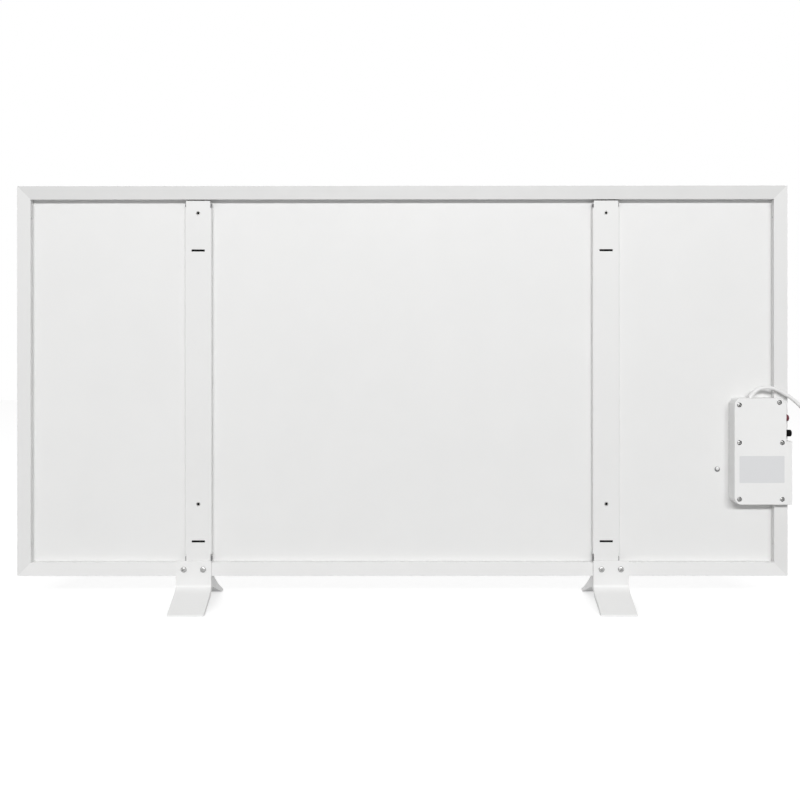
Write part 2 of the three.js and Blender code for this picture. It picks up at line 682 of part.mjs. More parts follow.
// ---------------------------------------------------------------- control box
function boxOutline(inset) {
  const left = BOX_LEFT + inset;
  const right = BOX_RIGHT - inset;
  const side = BOX_SIDE_X - inset;
  const bottom = BOX_BOTTOM + inset;
  const step = BOX_STEP_Z - inset;
  const top = BOX_TOP - inset;
  const corner = BOX_CORNER - inset;
  const topRight = BOX_TOP_RIGHT_CORNER - inset;
  const outline = new THREE.Shape();
  outline.moveTo(left + corner, bottom);
  outline.lineTo(right, bottom);
  outline.lineTo(right, step);
  outline.lineTo(side, step);
  outline.absarc(side - topRight, top - topRight, topRight, 0, Math.PI / 2, false);
  outline.absarc(left + corner, top - corner, corner, Math.PI / 2, Math.PI, false);
  outline.absarc(left + corner, bottom + corner, corner, Math.PI, 1.5 * Math.PI, false);
  return outline;
}

const lampZ = BOX_STEP_Z + LAMP_SHARE * (BOX_TOP - BOX_STEP_Z);
const buttonZ = BOX_STEP_Z + BUTTON_SHARE * (BOX_TOP - BOX_STEP_Z);

// What both shells are cut by: the cord's gland, the lamp, the button and the pocket behind them
function sharedBoxCuts() {
  const wall = [BOX_SIDE_X - BOX_WALL - 1, BOX_SIDE_X + 1];
  const pocketTop = lampZ + LAMP_RADIUS + 3;
  const pocketBottom = buttonZ - BUTTON_RADIUS - 3;
  return [
    rodZ(GLAND_RADIUS + HOLE_GAP, CORD_X, -CORD_DEPTH, [BOX_TOP - BOX_WALL - 1, BOX_TOP + 1], 24),
    rodX(LAMP_BODY_RADIUS + HOLE_GAP, wall, -CONTROL_DEPTH, lampZ, 24),
    rodX(BUTTON_RADIUS + HOLE_GAP, wall, -CONTROL_DEPTH, buttonZ, 24),
    block(
      [BOX_SIDE_X - BOX_WALL - SWITCH_LENGTH - BUTTON_STEM_LENGTH, BOX_SIDE_X - BOX_WALL],
      [-BOX_PROUD + POCKET_WALL, -SEAT_GAP - POCKET_WALL],
      [pocketBottom, pocketTop],
    ),
  ];
}

function boardPosts() {
  const depth = [BASE_FLOOR_TOP - BOARD_POST + SEAT_GAP, BASE_FLOOR_TOP + 1];
  const across = [BOARD_POST_INSET, BOARD_WIDTH - BOARD_POST_INSET];
  const up = [BOARD_POST_INSET, BOARD_HEIGHT - BOARD_POST_INSET];
  return across.flatMap((dx) =>
    up.map((dz) => {
      const [x, z] = boxPlace({ left: BOARD_LEFT + dx, bottom: BOARD_BOTTOM + dz });
      return rodY(BOARD_POST_RADIUS, x, depth, z, 12);
    }),
  );
}

const clampZ = BOX_TOP - CLAMP_DROP;
const clampSeat = -CORD_DEPTH + CORD_RADIUS + SEAT_GAP; // under the cord inside the box

function boxBase() {
  const overFrame = block([BOX_SHOULDER_X, BOX_RIGHT + 1], [-SEAT_GAP, RECESS + 1], [0, PANEL_HEIGHT]);
  const deepInside = block(
    [BOX_LEFT, BOX_SHOULDER_X - BOX_WALL],
    [-BOX_PROUD, BASE_FLOOR_TOP],
    [BOX_BOTTOM, BOX_TOP],
  );
  const hollow = keep(extrudeY(boxOutline(BOX_WALL), [-BOX_PROUD, RECESS]), deepInside);
  const shallowHollow = extrudeY(boxOutline(BOX_WALL), [-BOX_PROUD, -SEAT_GAP - BOX_WALL]);
  const shell = cut(extrudeY(boxOutline(0), [-BOX_SEAM, BOX_FLOOR]), [overFrame, hollow, shallowHollow]);
  const bosses = [];
  const bores = [];
  for (const spot of Object.values(LID_SCREW_PLACES)) {
    const [x, z] = boxPlace(spot);
    const shallow = x + BASE_BOSS > BOX_SHOULDER_X - BOX_WALL;
    const floor = shallow ? -SEAT_GAP - BOX_WALL / 2 : BASE_FLOOR_TOP + BOX_WALL / 2;
    bosses.push(rodY(BASE_BOSS, x, [-BOX_SEAM, floor], z, 12));
    bores.push(rodY(LID_SCREW_SHANK + HOLE_GAP, x, [-BOX_SEAM - 1, -SEAT_GAP - 0.8], z, 8));
  }
  const clampHalf = CLAMP_WIDTH / 2;
  const saddle = block(
    [CORD_X - clampHalf, CORD_X + clampHalf],
    [clampSeat, BASE_FLOOR_TOP + BOX_WALL / 2],
    [clampZ - CLAMP_HEIGHT / 2, clampZ + CLAMP_HEIGHT / 2],
  );
  const base = join([shell, ...bosses, ...boardPosts(), saddle]);
  const floorCuts = [...boxScrewHoles([0, RECESS]), leadHole([0, RECESS])];
  return cut(base, [...bores, ...floorCuts, ...sharedBoxCuts()]);
}

function boxLid() {
  const rim = -BOX_SEAM - SEAT_GAP;
  const outer = keep(
    extrudeY(boxOutline(0), [-BOX_PROUD + BOX_EDGE, 0], {
      bevelEnabled: true,
      bevelThickness: BOX_EDGE,
      bevelSize: BOX_EDGE,
      bevelOffset: -BOX_EDGE,
      bevelSegments: 2,
    }),
    block([BOX_LEFT - 1, BOX_RIGHT + 1], [-BOX_PROUD - 1, rim], [BOX_BOTTOM - 1, BOX_TOP + 1]),
  );
  const hollow = extrudeY(boxOutline(BOX_WALL), [LID_INSIDE, 0]);
  const shell = cut(outer, [hollow]);
  const bosses = [];
  const bores = [];
  for (const spot of Object.values(LID_SCREW_PLACES)) {
    const [x, z] = boxPlace(spot);
    const counterbore = [-BOX_PROUD - 1, -BOX_PROUD + LID_COUNTERBORE_DEPTH];
    bosses.push(rodY(LID_BOSS, x, [-BOX_PROUD + BOX_WALL / 2, rim], z, 12));
    bores.push(rodY(LID_COUNTERBORE, x, counterbore, z, 16));
    bores.push(rodY(LID_SCREW_SHANK + HOLE_GAP, x, [-BOX_PROUD, 0], z, 8));
  }
  const inside = extrudeY(boxOutline(BOX_WALL / 2), [-BOX_PROUD, 0]);
  const trimmed = bosses.map((boss) => keep(boss, inside));
  return cut(join([shell, ...trimmed]), [...bores, ...sharedBoxCuts()]);
}

function addControlBox() {
  place("control_box_base", boxBase(), whitePlastic);
  place("control_box_lid", boxLid(), whitePlastic);
  const lidScrew = screw(LID_SCREW_HEAD, LID_SCREW_HEAD_HEIGHT, LID_SCREW_SHANK, LID_SCREW_LENGTH, false);
  for (const [name, spot] of Object.entries(LID_SCREW_PLACES)) {
    const [x, z] = boxPlace(spot);
    place("lid_screw_" + name, lidScrew, zinc, [x, -BOX_PROUD + LID_COUNTERBORE_DEPTH, z]);
  }
  const boxScrew = screw(BOX_SCREW_HEAD, BOX_SCREW_HEAD_HEIGHT, BOX_SCREW_SHANK, BOX_SCREW_LENGTH);
  for (const [name, spot] of Object.entries(BOX_SCREW_PLACES)) {
    const [x, z] = boxPlace(spot);
    place("box_screw_" + name, boxScrew, zinc, [x, BASE_FLOOR_TOP, z]);
  }
}

// ---------------------------------------------------------------- inside the box
function onBoard({ across, up, depth }) {
  const [x, z] = boxPlace({ left: BOARD_LEFT, bottom: BOARD_BOTTOM });
  const top = BOARD_BACK - SEAT_GAP;
  const wide = across.map((share) => x + share * BOARD_WIDTH);
  const high = up.map((share) => z + share * BOARD_HEIGHT);
  return block(wide, [top - depth, top], high);
}

function addElectronics() {
  const [boardX, boardZ] = boxPlace({ left: BOARD_LEFT, bottom: BOARD_BOTTOM });
  const board = block(
    [boardX, boardX + BOARD_WIDTH],
    [BOARD_BACK, BOARD_BACK + BOARD_THICKNESS],
    [boardZ, boardZ + BOARD_HEIGHT],
  );
  place("circuit_board", board, boardGreen);
  place("relay", onBoard(RELAY), relayBlue);
  place("power_module", onBoard(POWER_MODULE), blackPlastic);

  const terminalTop = clampZ - CLAMP_HEIGHT / 2 - TERMINAL_DROP;
  const terminalFront = BOARD_BACK - SEAT_GAP;
  const terminalDepth = [terminalFront - TERMINAL_DEPTH, terminalFront];
  const terminal = block(
    [CORD_X - TERMINAL_WIDTH / 2, CORD_X + TERMINAL_WIDTH / 2],
    terminalDepth,
    [terminalTop - TERMINAL_HEIGHT, terminalTop],
  );
  const wellDepth = [terminalDepth[0] - 1, terminalDepth[0] + 5];
  const wellZ = terminalTop - 3 * TERMINAL_SCREW_RADIUS;
  const screwWells = [-1, 0, 1].map((i) =>
    rodY(TERMINAL_SCREW_RADIUS, CORD_X + (i * TERMINAL_WIDTH) / 3, wellDepth, wellZ, 10),
  );
  place("terminal_block", cut(terminal, screwWells), whitePlastic);

  const innerCord = [terminalTop + SEAT_GAP, BOX_TOP + GLAND_RIM - GLAND_LENGTH - SEAT_GAP];
  place("inner_cord", rodZ(CORD_RADIUS, CORD_X, -CORD_DEPTH, innerCord, CORD_SIDES), cordGrey);

  const clampRoof = -CORD_DEPTH - CORD_RADIUS - SEAT_GAP;
  const clampHalf = CLAMP_WIDTH / 2;
  const clampBody = block(
    [CORD_X - clampHalf, CORD_X + clampHalf],
    [clampRoof - CLAMP_ROOF, clampSeat - SEAT_GAP],
    [clampZ - CLAMP_HEIGHT / 2, clampZ + CLAMP_HEIGHT / 2],
  );
  const channelHalf = CORD_RADIUS + SEAT_GAP;
  const tunnel = block(
    [CORD_X - channelHalf, CORD_X + channelHalf],
    [clampRoof, RECESS],
    [clampZ - CLAMP_HEIGHT, clampZ + CLAMP_HEIGHT],
  );
  place("cord_clamp", cut(clampBody, [tunnel]), whitePlastic);

  const [cutoutX, cutoutZ] = boxPlace(CUTOUT_PLACE);
  const cutout = turned([
    [0, -CUTOUT_THICKNESS],
    [CUTOUT_RADIUS * 0.7, -CUTOUT_THICKNESS],
    [CUTOUT_RADIUS * 0.7, -1.5],
    [CUTOUT_RADIUS, -1.5],
    [CUTOUT_RADIUS, 0],
    [0, 0],
  ]);
  place("thermal_cutout", cutout, blackPlastic, [cutoutX, BASE_FLOOR_TOP - SEAT_GAP, cutoutZ]);
}

// Two leads from the board through the back plate to the film, in a grommet
function addLeads() {
  const [x, z] = boxPlace(LEAD_PLACE);
  const start = BOX_BOTTOM + BOARD_BOTTOM + 6;
  const boardFace = BOARD_BACK - SEAT_GAP;
  for (const [name, side] of [["live", -1], ["neutral", 1]]) {
    const leadX = x + (side * LEAD_SPACING) / 2;
    const path = smoothPath([
      [leadX, boardFace, start],
      [leadX, boardFace - 2, start],
      [leadX, boardFace - LEAD_LOOP - 1, start - 3],
      [leadX, boardFace - LEAD_LOOP, start - 8],
      [leadX, boardFace, z + 2.4],
      [leadX, boardFace + 3, z],
      [leadX, FILM_BACK - 3, z],
      [leadX, FILM_BACK - SEAT_GAP, z],
    ]);
    place("film_lead_" + name, tube(path, LEAD_RADIUS, 6, 14), leadRed);
  }
  const rim = GROMMET_RADIUS + GROMMET_RIM;
  const inside = GROMMET_RADIUS - 1;
  const back = BASE_FLOOR_TOP;
  const grommet = turned([
    [inside, BACK_SHEET_FRONT + 2],
    [inside, back - 2],
    [rim, back - 2],
    [rim, back],
    [GROMMET_RADIUS, back],
    [GROMMET_RADIUS, BACK_SHEET_FRONT + 2],
    [inside, BACK_SHEET_FRONT + 2],
  ]);
  place("lead_grommet", grommet, blackPlastic, [x, 0, z]);
}

// ---------------------------------------------------------------- lamp and button
const ALONG_X = [0, 0, -Math.PI / 2]; // turns a piece made along +Y to +X

function addLamp() {
  const seat = [BOX_SIDE_X, -CONTROL_DEPTH, lampZ];
  const dome = LAMP_PROUD - LAMP_COLLAR;
  const lens = turned([
    [0, SEAT_GAP],
    [LAMP_RADIUS, SEAT_GAP],
    [LAMP_RADIUS, LAMP_COLLAR],
    [LAMP_RADIUS * 0.92, LAMP_COLLAR + dome * 0.35],
    [LAMP_RADIUS * 0.7, LAMP_COLLAR + dome * 0.7],
    [LAMP_RADIUS * 0.38, LAMP_COLLAR + dome * 0.93],
    [0, LAMP_PROUD],
  ]);
  const body = turned([
    [0, -LAMP_BODY_LENGTH],
    [LAMP_BODY_RADIUS * 0.8, -LAMP_BODY_LENGTH],
    [LAMP_BODY_RADIUS, -LAMP_BODY_LENGTH + 1],
    [LAMP_BODY_RADIUS, 0],
    [0, 0],
  ]);
  place("pilot_lens", lens, redLens, seat, ALONG_X);
  place("pilot_body", body, whitePlastic, seat, ALONG_X);
}

class SpringPath extends THREE.Curve {
  constructor(length) {
    super();
    this.length = length;
  }

  getPoint(t, target = new THREE.Vector3()) {
    const angle = 2 * Math.PI * SPRING_TURNS * t;
    return target.set(SPRING_RADIUS * Math.cos(angle), this.length * t, SPRING_RADIUS * Math.sin(angle));
  }
}

function addButton() {
  const axis = [BOX_SIDE_X, -CONTROL_DEPTH, buttonZ];
  const collarTop = -BOX_WALL - SEAT_GAP;
  const collarBottom = collarTop - BUTTON_COLLAR_LENGTH;
  const stemEnd = collarBottom - BUTTON_STEM_LENGTH;
  const button = turned([
    [0, stemEnd],
    [BUTTON_STEM_RADIUS, stemEnd],
    [BUTTON_STEM_RADIUS, collarBottom],
    [BUTTON_RADIUS + BUTTON_COLLAR, collarBottom],
    [BUTTON_RADIUS + BUTTON_COLLAR, collarTop],
    [BUTTON_RADIUS, collarTop],
    [BUTTON_RADIUS, BUTTON_PROUD - BUTTON_EDGE],
    [BUTTON_RADIUS - BUTTON_EDGE * 0.3, BUTTON_PROUD - BUTTON_EDGE * 0.3],
    [BUTTON_RADIUS - BUTTON_EDGE, BUTTON_PROUD],
    [0, BUTTON_PROUD],
  ]);
  place("push_button", button, blackPlastic, axis, ALONG_X);

  const springRoom = BUTTON_TRAVEL + 2 * SPRING_WIRE * (SPRING_TURNS + 1) + 1;
  const switchTop = collarBottom - springRoom;
  const half = SWITCH_SIDE / 2;
  const bore = rodY(BUTTON_STEM_RADIUS + HOLE_GAP, 0, [stemEnd - BUTTON_TRAVEL - 1, switchTop + 1], 0, 12);
  const housing = block([-half, half], [switchTop - SWITCH_LENGTH, switchTop], [-half, half]);
  place("switch_body", cut(housing, [bore]), blackPlastic, axis, ALONG_X);

  const clear = SPRING_WIRE + 0.15;
  const spring = tube(
    new SpringPath(springRoom - 2 * clear),
    SPRING_WIRE,
    SPRING_SIDES,
    SPRING_TURNS * SPRING_STEPS,
  );
  place("button_spring", spring.translate(0, switchTop + clear, 0), nickel, axis, ALONG_X);
}

// ---------------------------------------------------------------- cord and plug, in the heater's own frame
const cordStart = [CORD_X, REAR_FACE_Y - CORD_DEPTH, FLOOR_CLEARANCE + BOX_TOP + GLAND_RIM + SEAT_GAP];
const COIL_DEEPEST = COIL_TURNS + 0.25; // turns in, at the middle of the climb
const COIL_OUTER = COIL_MEAN_RADIUS + (COIL_PITCH * COIL_DEEPEST) / 2;
const COIL_CENTRE = [HALF_WIDTH + COIL_CLEAR, REAR_FACE_Y - CORD_DEPTH + COIL_OUTER];
const LEAD_IN = 2 * CORD_RADIUS;

// In on the floor, up a layer in the half turn where the spiral reverses, and out again above
class CoilPath extends THREE.Curve {
  constructor() {
    super();
    this.turns = 2 * COIL_DEEPEST;
    this.wound = 2 * Math.PI * COIL_MEAN_RADIUS * this.turns;
    this.total = this.wound + 2 * LEAD_IN;
  }

  woundPoint(turn) {
    const climb = THREE.MathUtils.clamp((turn - COIL_TURNS) / 0.5, 0, 1);
    const inward = COIL_DEEPEST - Math.hypot(turn - COIL_DEEPEST, COIL_EASE);
    const radius = COIL_OUTER - COIL_PITCH * inward;
    const angle = 2 * Math.PI * turn - Math.PI / 2;
    const rise = COIL_LAYER * THREE.MathUtils.smoothstep(climb, 0, 1);
    return [radius * Math.cos(angle), radius * Math.sin(angle), rise];
  }

  getPoint(t, target = new THREE.Vector3()) {
    const along = t * this.total;
    const wound = THREE.MathUtils.clamp((along - LEAD_IN) / this.wound, 0, 1);
    const [x, y, z] = this.woundPoint(wound * this.turns);
    const before = Math.min(along - LEAD_IN, 0);
    const after = Math.max(along - LEAD_IN - this.wound, 0);
    return target.set(
      COIL_CENTRE[0] + x + before - after,
      COIL_CENTRE[1] + y,
      CORD_RADIUS + z,
    );
  }
}

// Least distance between the surfaces of two stretches of one tube that are not neighbours along it
function leastGap(path, diameter, samples) {
  const points = path.getSpacedPoints(samples);
  const step = path.getLength() / samples;
  const apart = Math.ceil((Math.PI * COIL_MEAN_RADIUS) / step);
  let least = Infinity;
  for (let i = 0; i < points.length; i++)
    for (let j = i + apart; j < points.length; j++) least = Math.min(least, points[i].distanceTo(points[j]));
  return least - diameter;
}

function addCord() {
  const [x, y, z] = cordStart;
  const coil = new CoilPath();
  const coilStart = coil.getPoint(0);
  const coilEnd = coil.getPoint(1);
  const floor = coilStart.z;
  // Up out of the gland and over to the right in an even bend, down beside the panel, and along the floor
  const free = smoothPath([
    [x, y, z],
    [x + 4.2, y - 0.1, z + 6.11],
    [x + 9.88, y - 0.4, z + 10.8],
    [x + 16.67, y - 0.8, z + 13.79],
    [x + 23.96, y - 1.2, z + 14.8],
    [x + 36.5, y - 2, z + 12.9],
    [x + 49.6, y - 2.6, z + 6.6],
    [x + 62.7, y - 3.2, z - 2],
    [x + 75.2, y - 4, z - 13.2],
    [x + 90, y - 4.6, z - 31],
    [x + 104, y - 5.3, z - 54],
    [x + 116, y - 6, z - 85],
    [x + 124.5, y - 6, z - 123],
    [x + 129, y - 6, z - 170],
    [x + 130, y - 4.5, z - 220],
    [x + 131, y - 2, z - 262],
    [x + 131.5, y - 1.2, floor + 36],
    [x + 134.61, y - 0.8, floor + 21.36],
    [x + 143.41, y - 0.4, floor + 9.25],
    [x + 155.19, y - 0.1, floor + 2.6],
    [x + 167.19, y, floor + 0.35],
    [x + 181.19, y, floor + 0.04],
    [x + 197.19, y, floor],
    [coilStart.x - SEAT_GAP - LEAD_IN, y, floor],
    [coilStart.x - SEAT_GAP, y, floor],
  ]);
  place("power_cord", tube(free, CORD_RADIUS, CORD_SIDES, CORD_STEPS), cordGrey, [0, 0, 0], [0, 0, 0], heater);

  const rings = Math.round(coil.turns * COIL_STEPS) + 4;
  const coilMesh = tube(coil, CORD_RADIUS, COIL_SIDES, rings);
  place("cord_coil", coilMesh, cordGrey, [0, 0, 0], [0, 0, 0], heater);

  const plugBack = [coilEnd.x - PLUG_DISTANCE, coilEnd.y, PLUG_RADIUS];
  const tail = smoothPath([
    [coilEnd.x - SEAT_GAP, coilEnd.y, coilEnd.z],
    [coilEnd.x - SEAT_GAP - LEAD_IN, coilEnd.y, coilEnd.z],
    [coilEnd.x - PLUG_DISTANCE / 2, coilEnd.y, (coilEnd.z + PLUG_RADIUS) / 2],
    [plugBack[0] + SEAT_GAP + LEAD_IN, plugBack[1], plugBack[2]],
    [plugBack[0] + SEAT_GAP, plugBack[1], plugBack[2]],
  ]);
  place("cord_tail", tube(tail, CORD_RADIUS, CORD_SIDES, 6), cordGrey, [0, 0, 0], [0, 0, 0], heater);
  addPlug(plugBack);

  const length = free.getLength() + coil.getLength() + tail.getLength();
  const gap = leastGap(coil, 2 * CORD_RADIUS, 900);
  console.log(`cord ${length.toFixed(0)} mm from gland to plug, coil's least gap to itself ${gap.toFixed(2)} mm`);
}

// Its cable end lies at the given place and its pins point to -X
function addPlug(back) {
  const full = PLUG_TAPER_LENGTH + PLUG_BODY_LENGTH;
  const face = full - PLUG_FACE_DEPTH;
  const well = PLUG_RADIUS - 3;
  const turnedBody = turned(
    [
      [0, 0],
      [PLUG_NECK_RADIUS, 0],
      [PLUG_NECK_RADIUS + 0.8, PLUG_TAPER_LENGTH * 0.45],
      [PLUG_RADIUS * 0.72, PLUG_TAPER_LENGTH * 0.8],
      [PLUG_RADIUS * 0.96, PLUG_TAPER_LENGTH],
      [PLUG_RADIUS, PLUG_TAPER_LENGTH + 3],
      [PLUG_RADIUS, full - 1],
      [PLUG_RADIUS - 1, full],
      [well, full],
      [well, face],
      [0, face],
    ],
    24,
  );
  const bridgeDepth = 3;
  const half = PIN_SPACING / 2;
  const room = PIN_RADIUS + HOLE_GAP;
  const slot = block([-half - room, half + room], [face - bridgeDepth - SEAT_GAP, face + 1], [-room, room]);
  place("plug_body", cut(turnedBody, [slot]), whitePlastic, back, [0, 0, Math.PI / 2], heater);

  const bridge = block([-half, half], [face - bridgeDepth, face - 1], [-PIN_RADIUS * 0.6, PIN_RADIUS * 0.6]);
  const pins = [-1, 1].map((side) =>
    turned(
      [
        [0, face - bridgeDepth],
        [PIN_RADIUS, face - bridgeDepth],
        [PIN_RADIUS, face + PIN_LENGTH - 1.6],
        [PIN_RADIUS * 0.55, face + PIN_LENGTH],
        [0, face + PIN_LENGTH],
      ],
      12,
    ).translate(side * half, 0, 0),
  );
  place("plug_pins", join([bridge, ...pins]), nickel, back, [0, 0, Math.PI / 2], heater);
}

function addGland() {
  const top = BOX_TOP + GLAND_RIM;
  const flange = GLAND_RADIUS + 0.9;
  const gland = turned([
    [0, 0],
    [GLAND_RADIUS - 0.8, 0],
    [GLAND_RADIUS - 0.2, 3],
    [GLAND_RADIUS - 0.2, GLAND_LENGTH - GLAND_RIM],
    [flange - 0.5, GLAND_LENGTH - GLAND_RIM + 0.3],
    [flange - 0.5, GLAND_LENGTH - 0.3],
    [flange - 1, GLAND_LENGTH],
    [CORD_RADIUS + 2 * SEAT_GAP, GLAND_LENGTH],
    [CORD_RADIUS + 2 * SEAT_GAP, GLAND_LENGTH - GLAND_WELL],
    [0, GLAND_LENGTH - GLAND_WELL],
  ]);
  place("cord_gland", gland, whitePlastic, [CORD_X, -CORD_DEPTH, top - GLAND_LENGTH], [Math.PI / 2, 0, 0]);
}

addFrame();
addSheets();
addPlateStud();
addBackRails();
addFeet();
addControlBox();
addElectronics();
addLeads();
addLamp();
addButton();
addGland();
addCord();

export default heater;
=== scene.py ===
"""Looks of an infrared panel heater seen from its rear: camera, light, materials and fine pieces.

The axes are the CAD frame's: +X to the right of a viewer behind it, +Y out of its warm front, +Z up.
Lengths are in metres, apart from the pieces' own sizes, which are in millimetres, for use with MM.
"""

import math

import bmesh
import bpy
from mathutils import Matrix, Vector


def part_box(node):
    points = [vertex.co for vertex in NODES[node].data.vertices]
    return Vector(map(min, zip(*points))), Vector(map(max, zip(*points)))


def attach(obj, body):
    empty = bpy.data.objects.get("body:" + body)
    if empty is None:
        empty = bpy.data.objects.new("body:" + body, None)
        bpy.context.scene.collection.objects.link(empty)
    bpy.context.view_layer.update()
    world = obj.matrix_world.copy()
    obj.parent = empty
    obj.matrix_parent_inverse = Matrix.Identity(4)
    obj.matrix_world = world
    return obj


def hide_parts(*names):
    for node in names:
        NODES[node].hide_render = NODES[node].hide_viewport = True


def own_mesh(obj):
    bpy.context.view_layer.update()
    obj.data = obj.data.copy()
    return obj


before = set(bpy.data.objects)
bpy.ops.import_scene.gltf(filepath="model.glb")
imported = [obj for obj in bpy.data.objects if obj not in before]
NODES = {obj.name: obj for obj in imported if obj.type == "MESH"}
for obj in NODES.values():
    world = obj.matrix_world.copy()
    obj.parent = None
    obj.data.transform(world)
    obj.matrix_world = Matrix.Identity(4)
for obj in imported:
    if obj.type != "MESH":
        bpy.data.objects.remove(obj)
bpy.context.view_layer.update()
MM = 0.001

# ---------------------------------------------------------------- camera
CAMERA_PLACE = (-0.00157, -1.47544, 0.39590)
CAMERA_YAW = 0.00118  # radians, as the roll is
CAMERA_ROLL = -0.00061
CAMERA_LENS = 42.30  # mm, as the sensor's width is
CAMERA_SENSOR = 36
CAMERA_SHIFT_Y = -0.0621


def add_camera():
    forward = Vector((-math.sin(CAMERA_YAW), math.cos(CAMERA_YAW), 0))
    level = Vector((math.cos(CAMERA_YAW), math.sin(CAMERA_YAW), 0))
    up = Vector((0, 0, 1))
    right = level * math.cos(CAMERA_ROLL) + up * math.sin(CAMERA_ROLL)
    above = up * math.cos(CAMERA_ROLL) - level * math.sin(CAMERA_ROLL)
    data = bpy.data.cameras.new("camera")
    data.lens = CAMERA_LENS
    data.sensor_width = CAMERA_SENSOR
    data.shift_y = CAMERA_SHIFT_Y
    data.clip_start = 0.05
    data.clip_end = 60
    camera = bpy.data.objects.new("camera", data)
    turn = Matrix((right, above, -forward)).transposed()
    camera.matrix_world = Matrix.Translation(CAMERA_PLACE) @ turn.to_4x4()
    bpy.context.scene.collection.objects.link(camera)
    bpy.context.scene.camera = camera


add_camera()

# ---------------------------------------------------------------- material helpers


BANDS_AT_SCALE_1 = math.pi / 10  # from one band of the wave texture to the next


class Maker:
    """Builds one material's nodes, left to right, and keeps it in MATERIALS under its name."""

    def __init__(self, name):
        self.name = name
        self.material = bpy.data.materials.new(name)
        self.material.use_nodes = True
        self.tree = self.material.node_tree
        self.tree.nodes.clear()
        self.out = self.node("ShaderNodeOutputMaterial")
        self.coords = self.node("ShaderNodeTexCoord").outputs["Object"]

    def node(self, kind, **settings):
        made = self.tree.nodes.new(kind)
        for key, value in settings.items():
            setattr(made, key, value)
        return made

    def link(self, source, target):
        self.tree.links.new(source, target)

    def put(self, target, value):
        """value is a socket to link from, or a number or colour to set."""
        if isinstance(value, bpy.types.NodeSocket):
            self.link(value, target)
        elif hasattr(value, "__len__") and len(value) == 3 and target.type == "RGBA":
            target.default_value = (*value, 1)
        else:
            target.default_value = value

    def stretched(self, scale):
        mapping = self.node("ShaderNodeMapping")
        self.link(self.coords, mapping.inputs["Vector"])
        mapping.inputs["Scale"].default_value = scale
        return mapping.outputs["Vector"]

    def noise(self, size, detail=3, rough=0.5, stretch=None, distortion=0):
        """size is the texture's wavelength in metres."""
        made = self.node("ShaderNodeTexNoise")
        place = self.stretched(stretch) if stretch else self.coords
        self.link(place, made.inputs["Vector"])
        made.inputs["Scale"].default_value = 1 / size
        made.inputs["Detail"].default_value = detail
        made.inputs["Roughness"].default_value = rough
        made.inputs["Distortion"].default_value = distortion
        return made.outputs["Fac"]

    def cells(self, size, feature="F1"):
        made = self.node("ShaderNodeTexVoronoi", feature=feature)
        self.link(self.coords, made.inputs["Vector"])
        made.inputs["Scale"].default_value = 1 / size
        return made.outputs["Distance"]

    def waves(self, size, axis):
        """size is the distance between two bands in metres."""
        made = self.node("ShaderNodeTexWave", bands_direction=axis)
        self.link(self.coords, made.inputs["Vector"])
        made.inputs["Scale"].default_value = BANDS_AT_SCALE_1 / size
        made.inputs["Detail"].default_value = 0
        return made.outputs["Fac"]

    def spread(self, value, low, high, start=0.0, end=1.0):
        made = self.node("ShaderNodeMapRange")
        made.inputs["From Min"].default_value = start
        made.inputs["From Max"].default_value = end
        made.inputs["To Min"].default_value = low
        made.inputs["To Max"].default_value = high
        self.link(value, made.inputs["Value"])
        return made.outputs["Result"]

    def ramp(self, value, stops):
        made = self.node("ShaderNodeValToRGB")
        self.link(value, made.inputs["Fac"])
        elements = made.color_ramp.elements
        while len(elements) < len(stops):
            elements.new(0.5)
        for element, (place, colour) in zip(elements, stops):
            element.position = place
            element.color = (*colour, 1)
        return made.outputs["Color"]

    def blend(self, factor, one, other):
        made = self.node("ShaderNodeMix", data_type="RGBA")
        self.put(made.inputs["Factor"], factor)
        self.put(made.inputs["A"], one)
        self.put(made.inputs["B"], other)
        return made.outputs["Result"]

    def bump(self, height, depth, under=None):
        """depth in metres is the height of a full step of the texture."""
        made = self.node("ShaderNodeBump")
        made.inputs["Strength"].default_value = 1
        made.inputs["Distance"].default_value = depth
        self.link(height, made.inputs["Height"])
        if under:
            self.link(under, made.inputs["Normal"])
        return made.outputs["Normal"]

    def surface(self, **sockets):
        shader = self.node("ShaderNodeBsdfPrincipled")
        for key, value in sockets.items():
            self.put(shader.inputs[key.replace("_", " ")], value)
        self.link(shader.outputs["BSDF"], self.out.inputs["Surface"])
        MATERIALS[self.name] = self.material


def shade(colour, darker):
    return [channel * (1 - darker) for channel in colour]


def dusted(maker, colour, darker, size=0.09):
    """A base colour that drifts a little towards a darker tone, in soft patches with fine specks."""
    patches = maker.spread(maker.noise(size, detail=4, rough=0.55), 0, 1, start=0.35, end=0.75)
    specks = maker.spread(maker.noise(0.0011, detail=2, rough=0.6), 0, 1, start=0.62, end=0.8)
    clean = maker.blend(patches, colour, shade(colour, darker))
    return maker.blend(specks, clean, shade(colour, 2 * darker))


def roughened(maker, size, rough, **noise):
    """Roughness that wanders between the two values of rough."""
    return maker.spread(maker.noise(size, detail=3, **noise), *rough, start=0.3, end=0.7)


def powder_coat(name, colour, drawn=None):
    """Satin paint with an orange peel. drawn is the stretch of a drawn profile's fine lines, if any."""
    peel, depth = 0.0022, 9e-6
    maker = Maker(name)
    base = dusted(maker, colour, darker=0.018)
    roughness = roughened(maker, 0.02, (0.38, 0.5))
    normal = maker.bump(maker.noise(peel, detail=2, rough=0.45), depth)
    normal = maker.bump(maker.noise(peel / 6, detail=1), depth / 9, normal)
    if drawn:
        lines = maker.noise(0.0009, detail=2, rough=0.6, stretch=drawn)
        normal = maker.bump(lines, depth / 3, normal)
    maker.surface(
        Base_Color=base, Roughness=roughness, Normal=normal, Specular_IOR_Level=0.45,
        Coat_Weight=0.12, Coat_Roughness=0.22,
    )


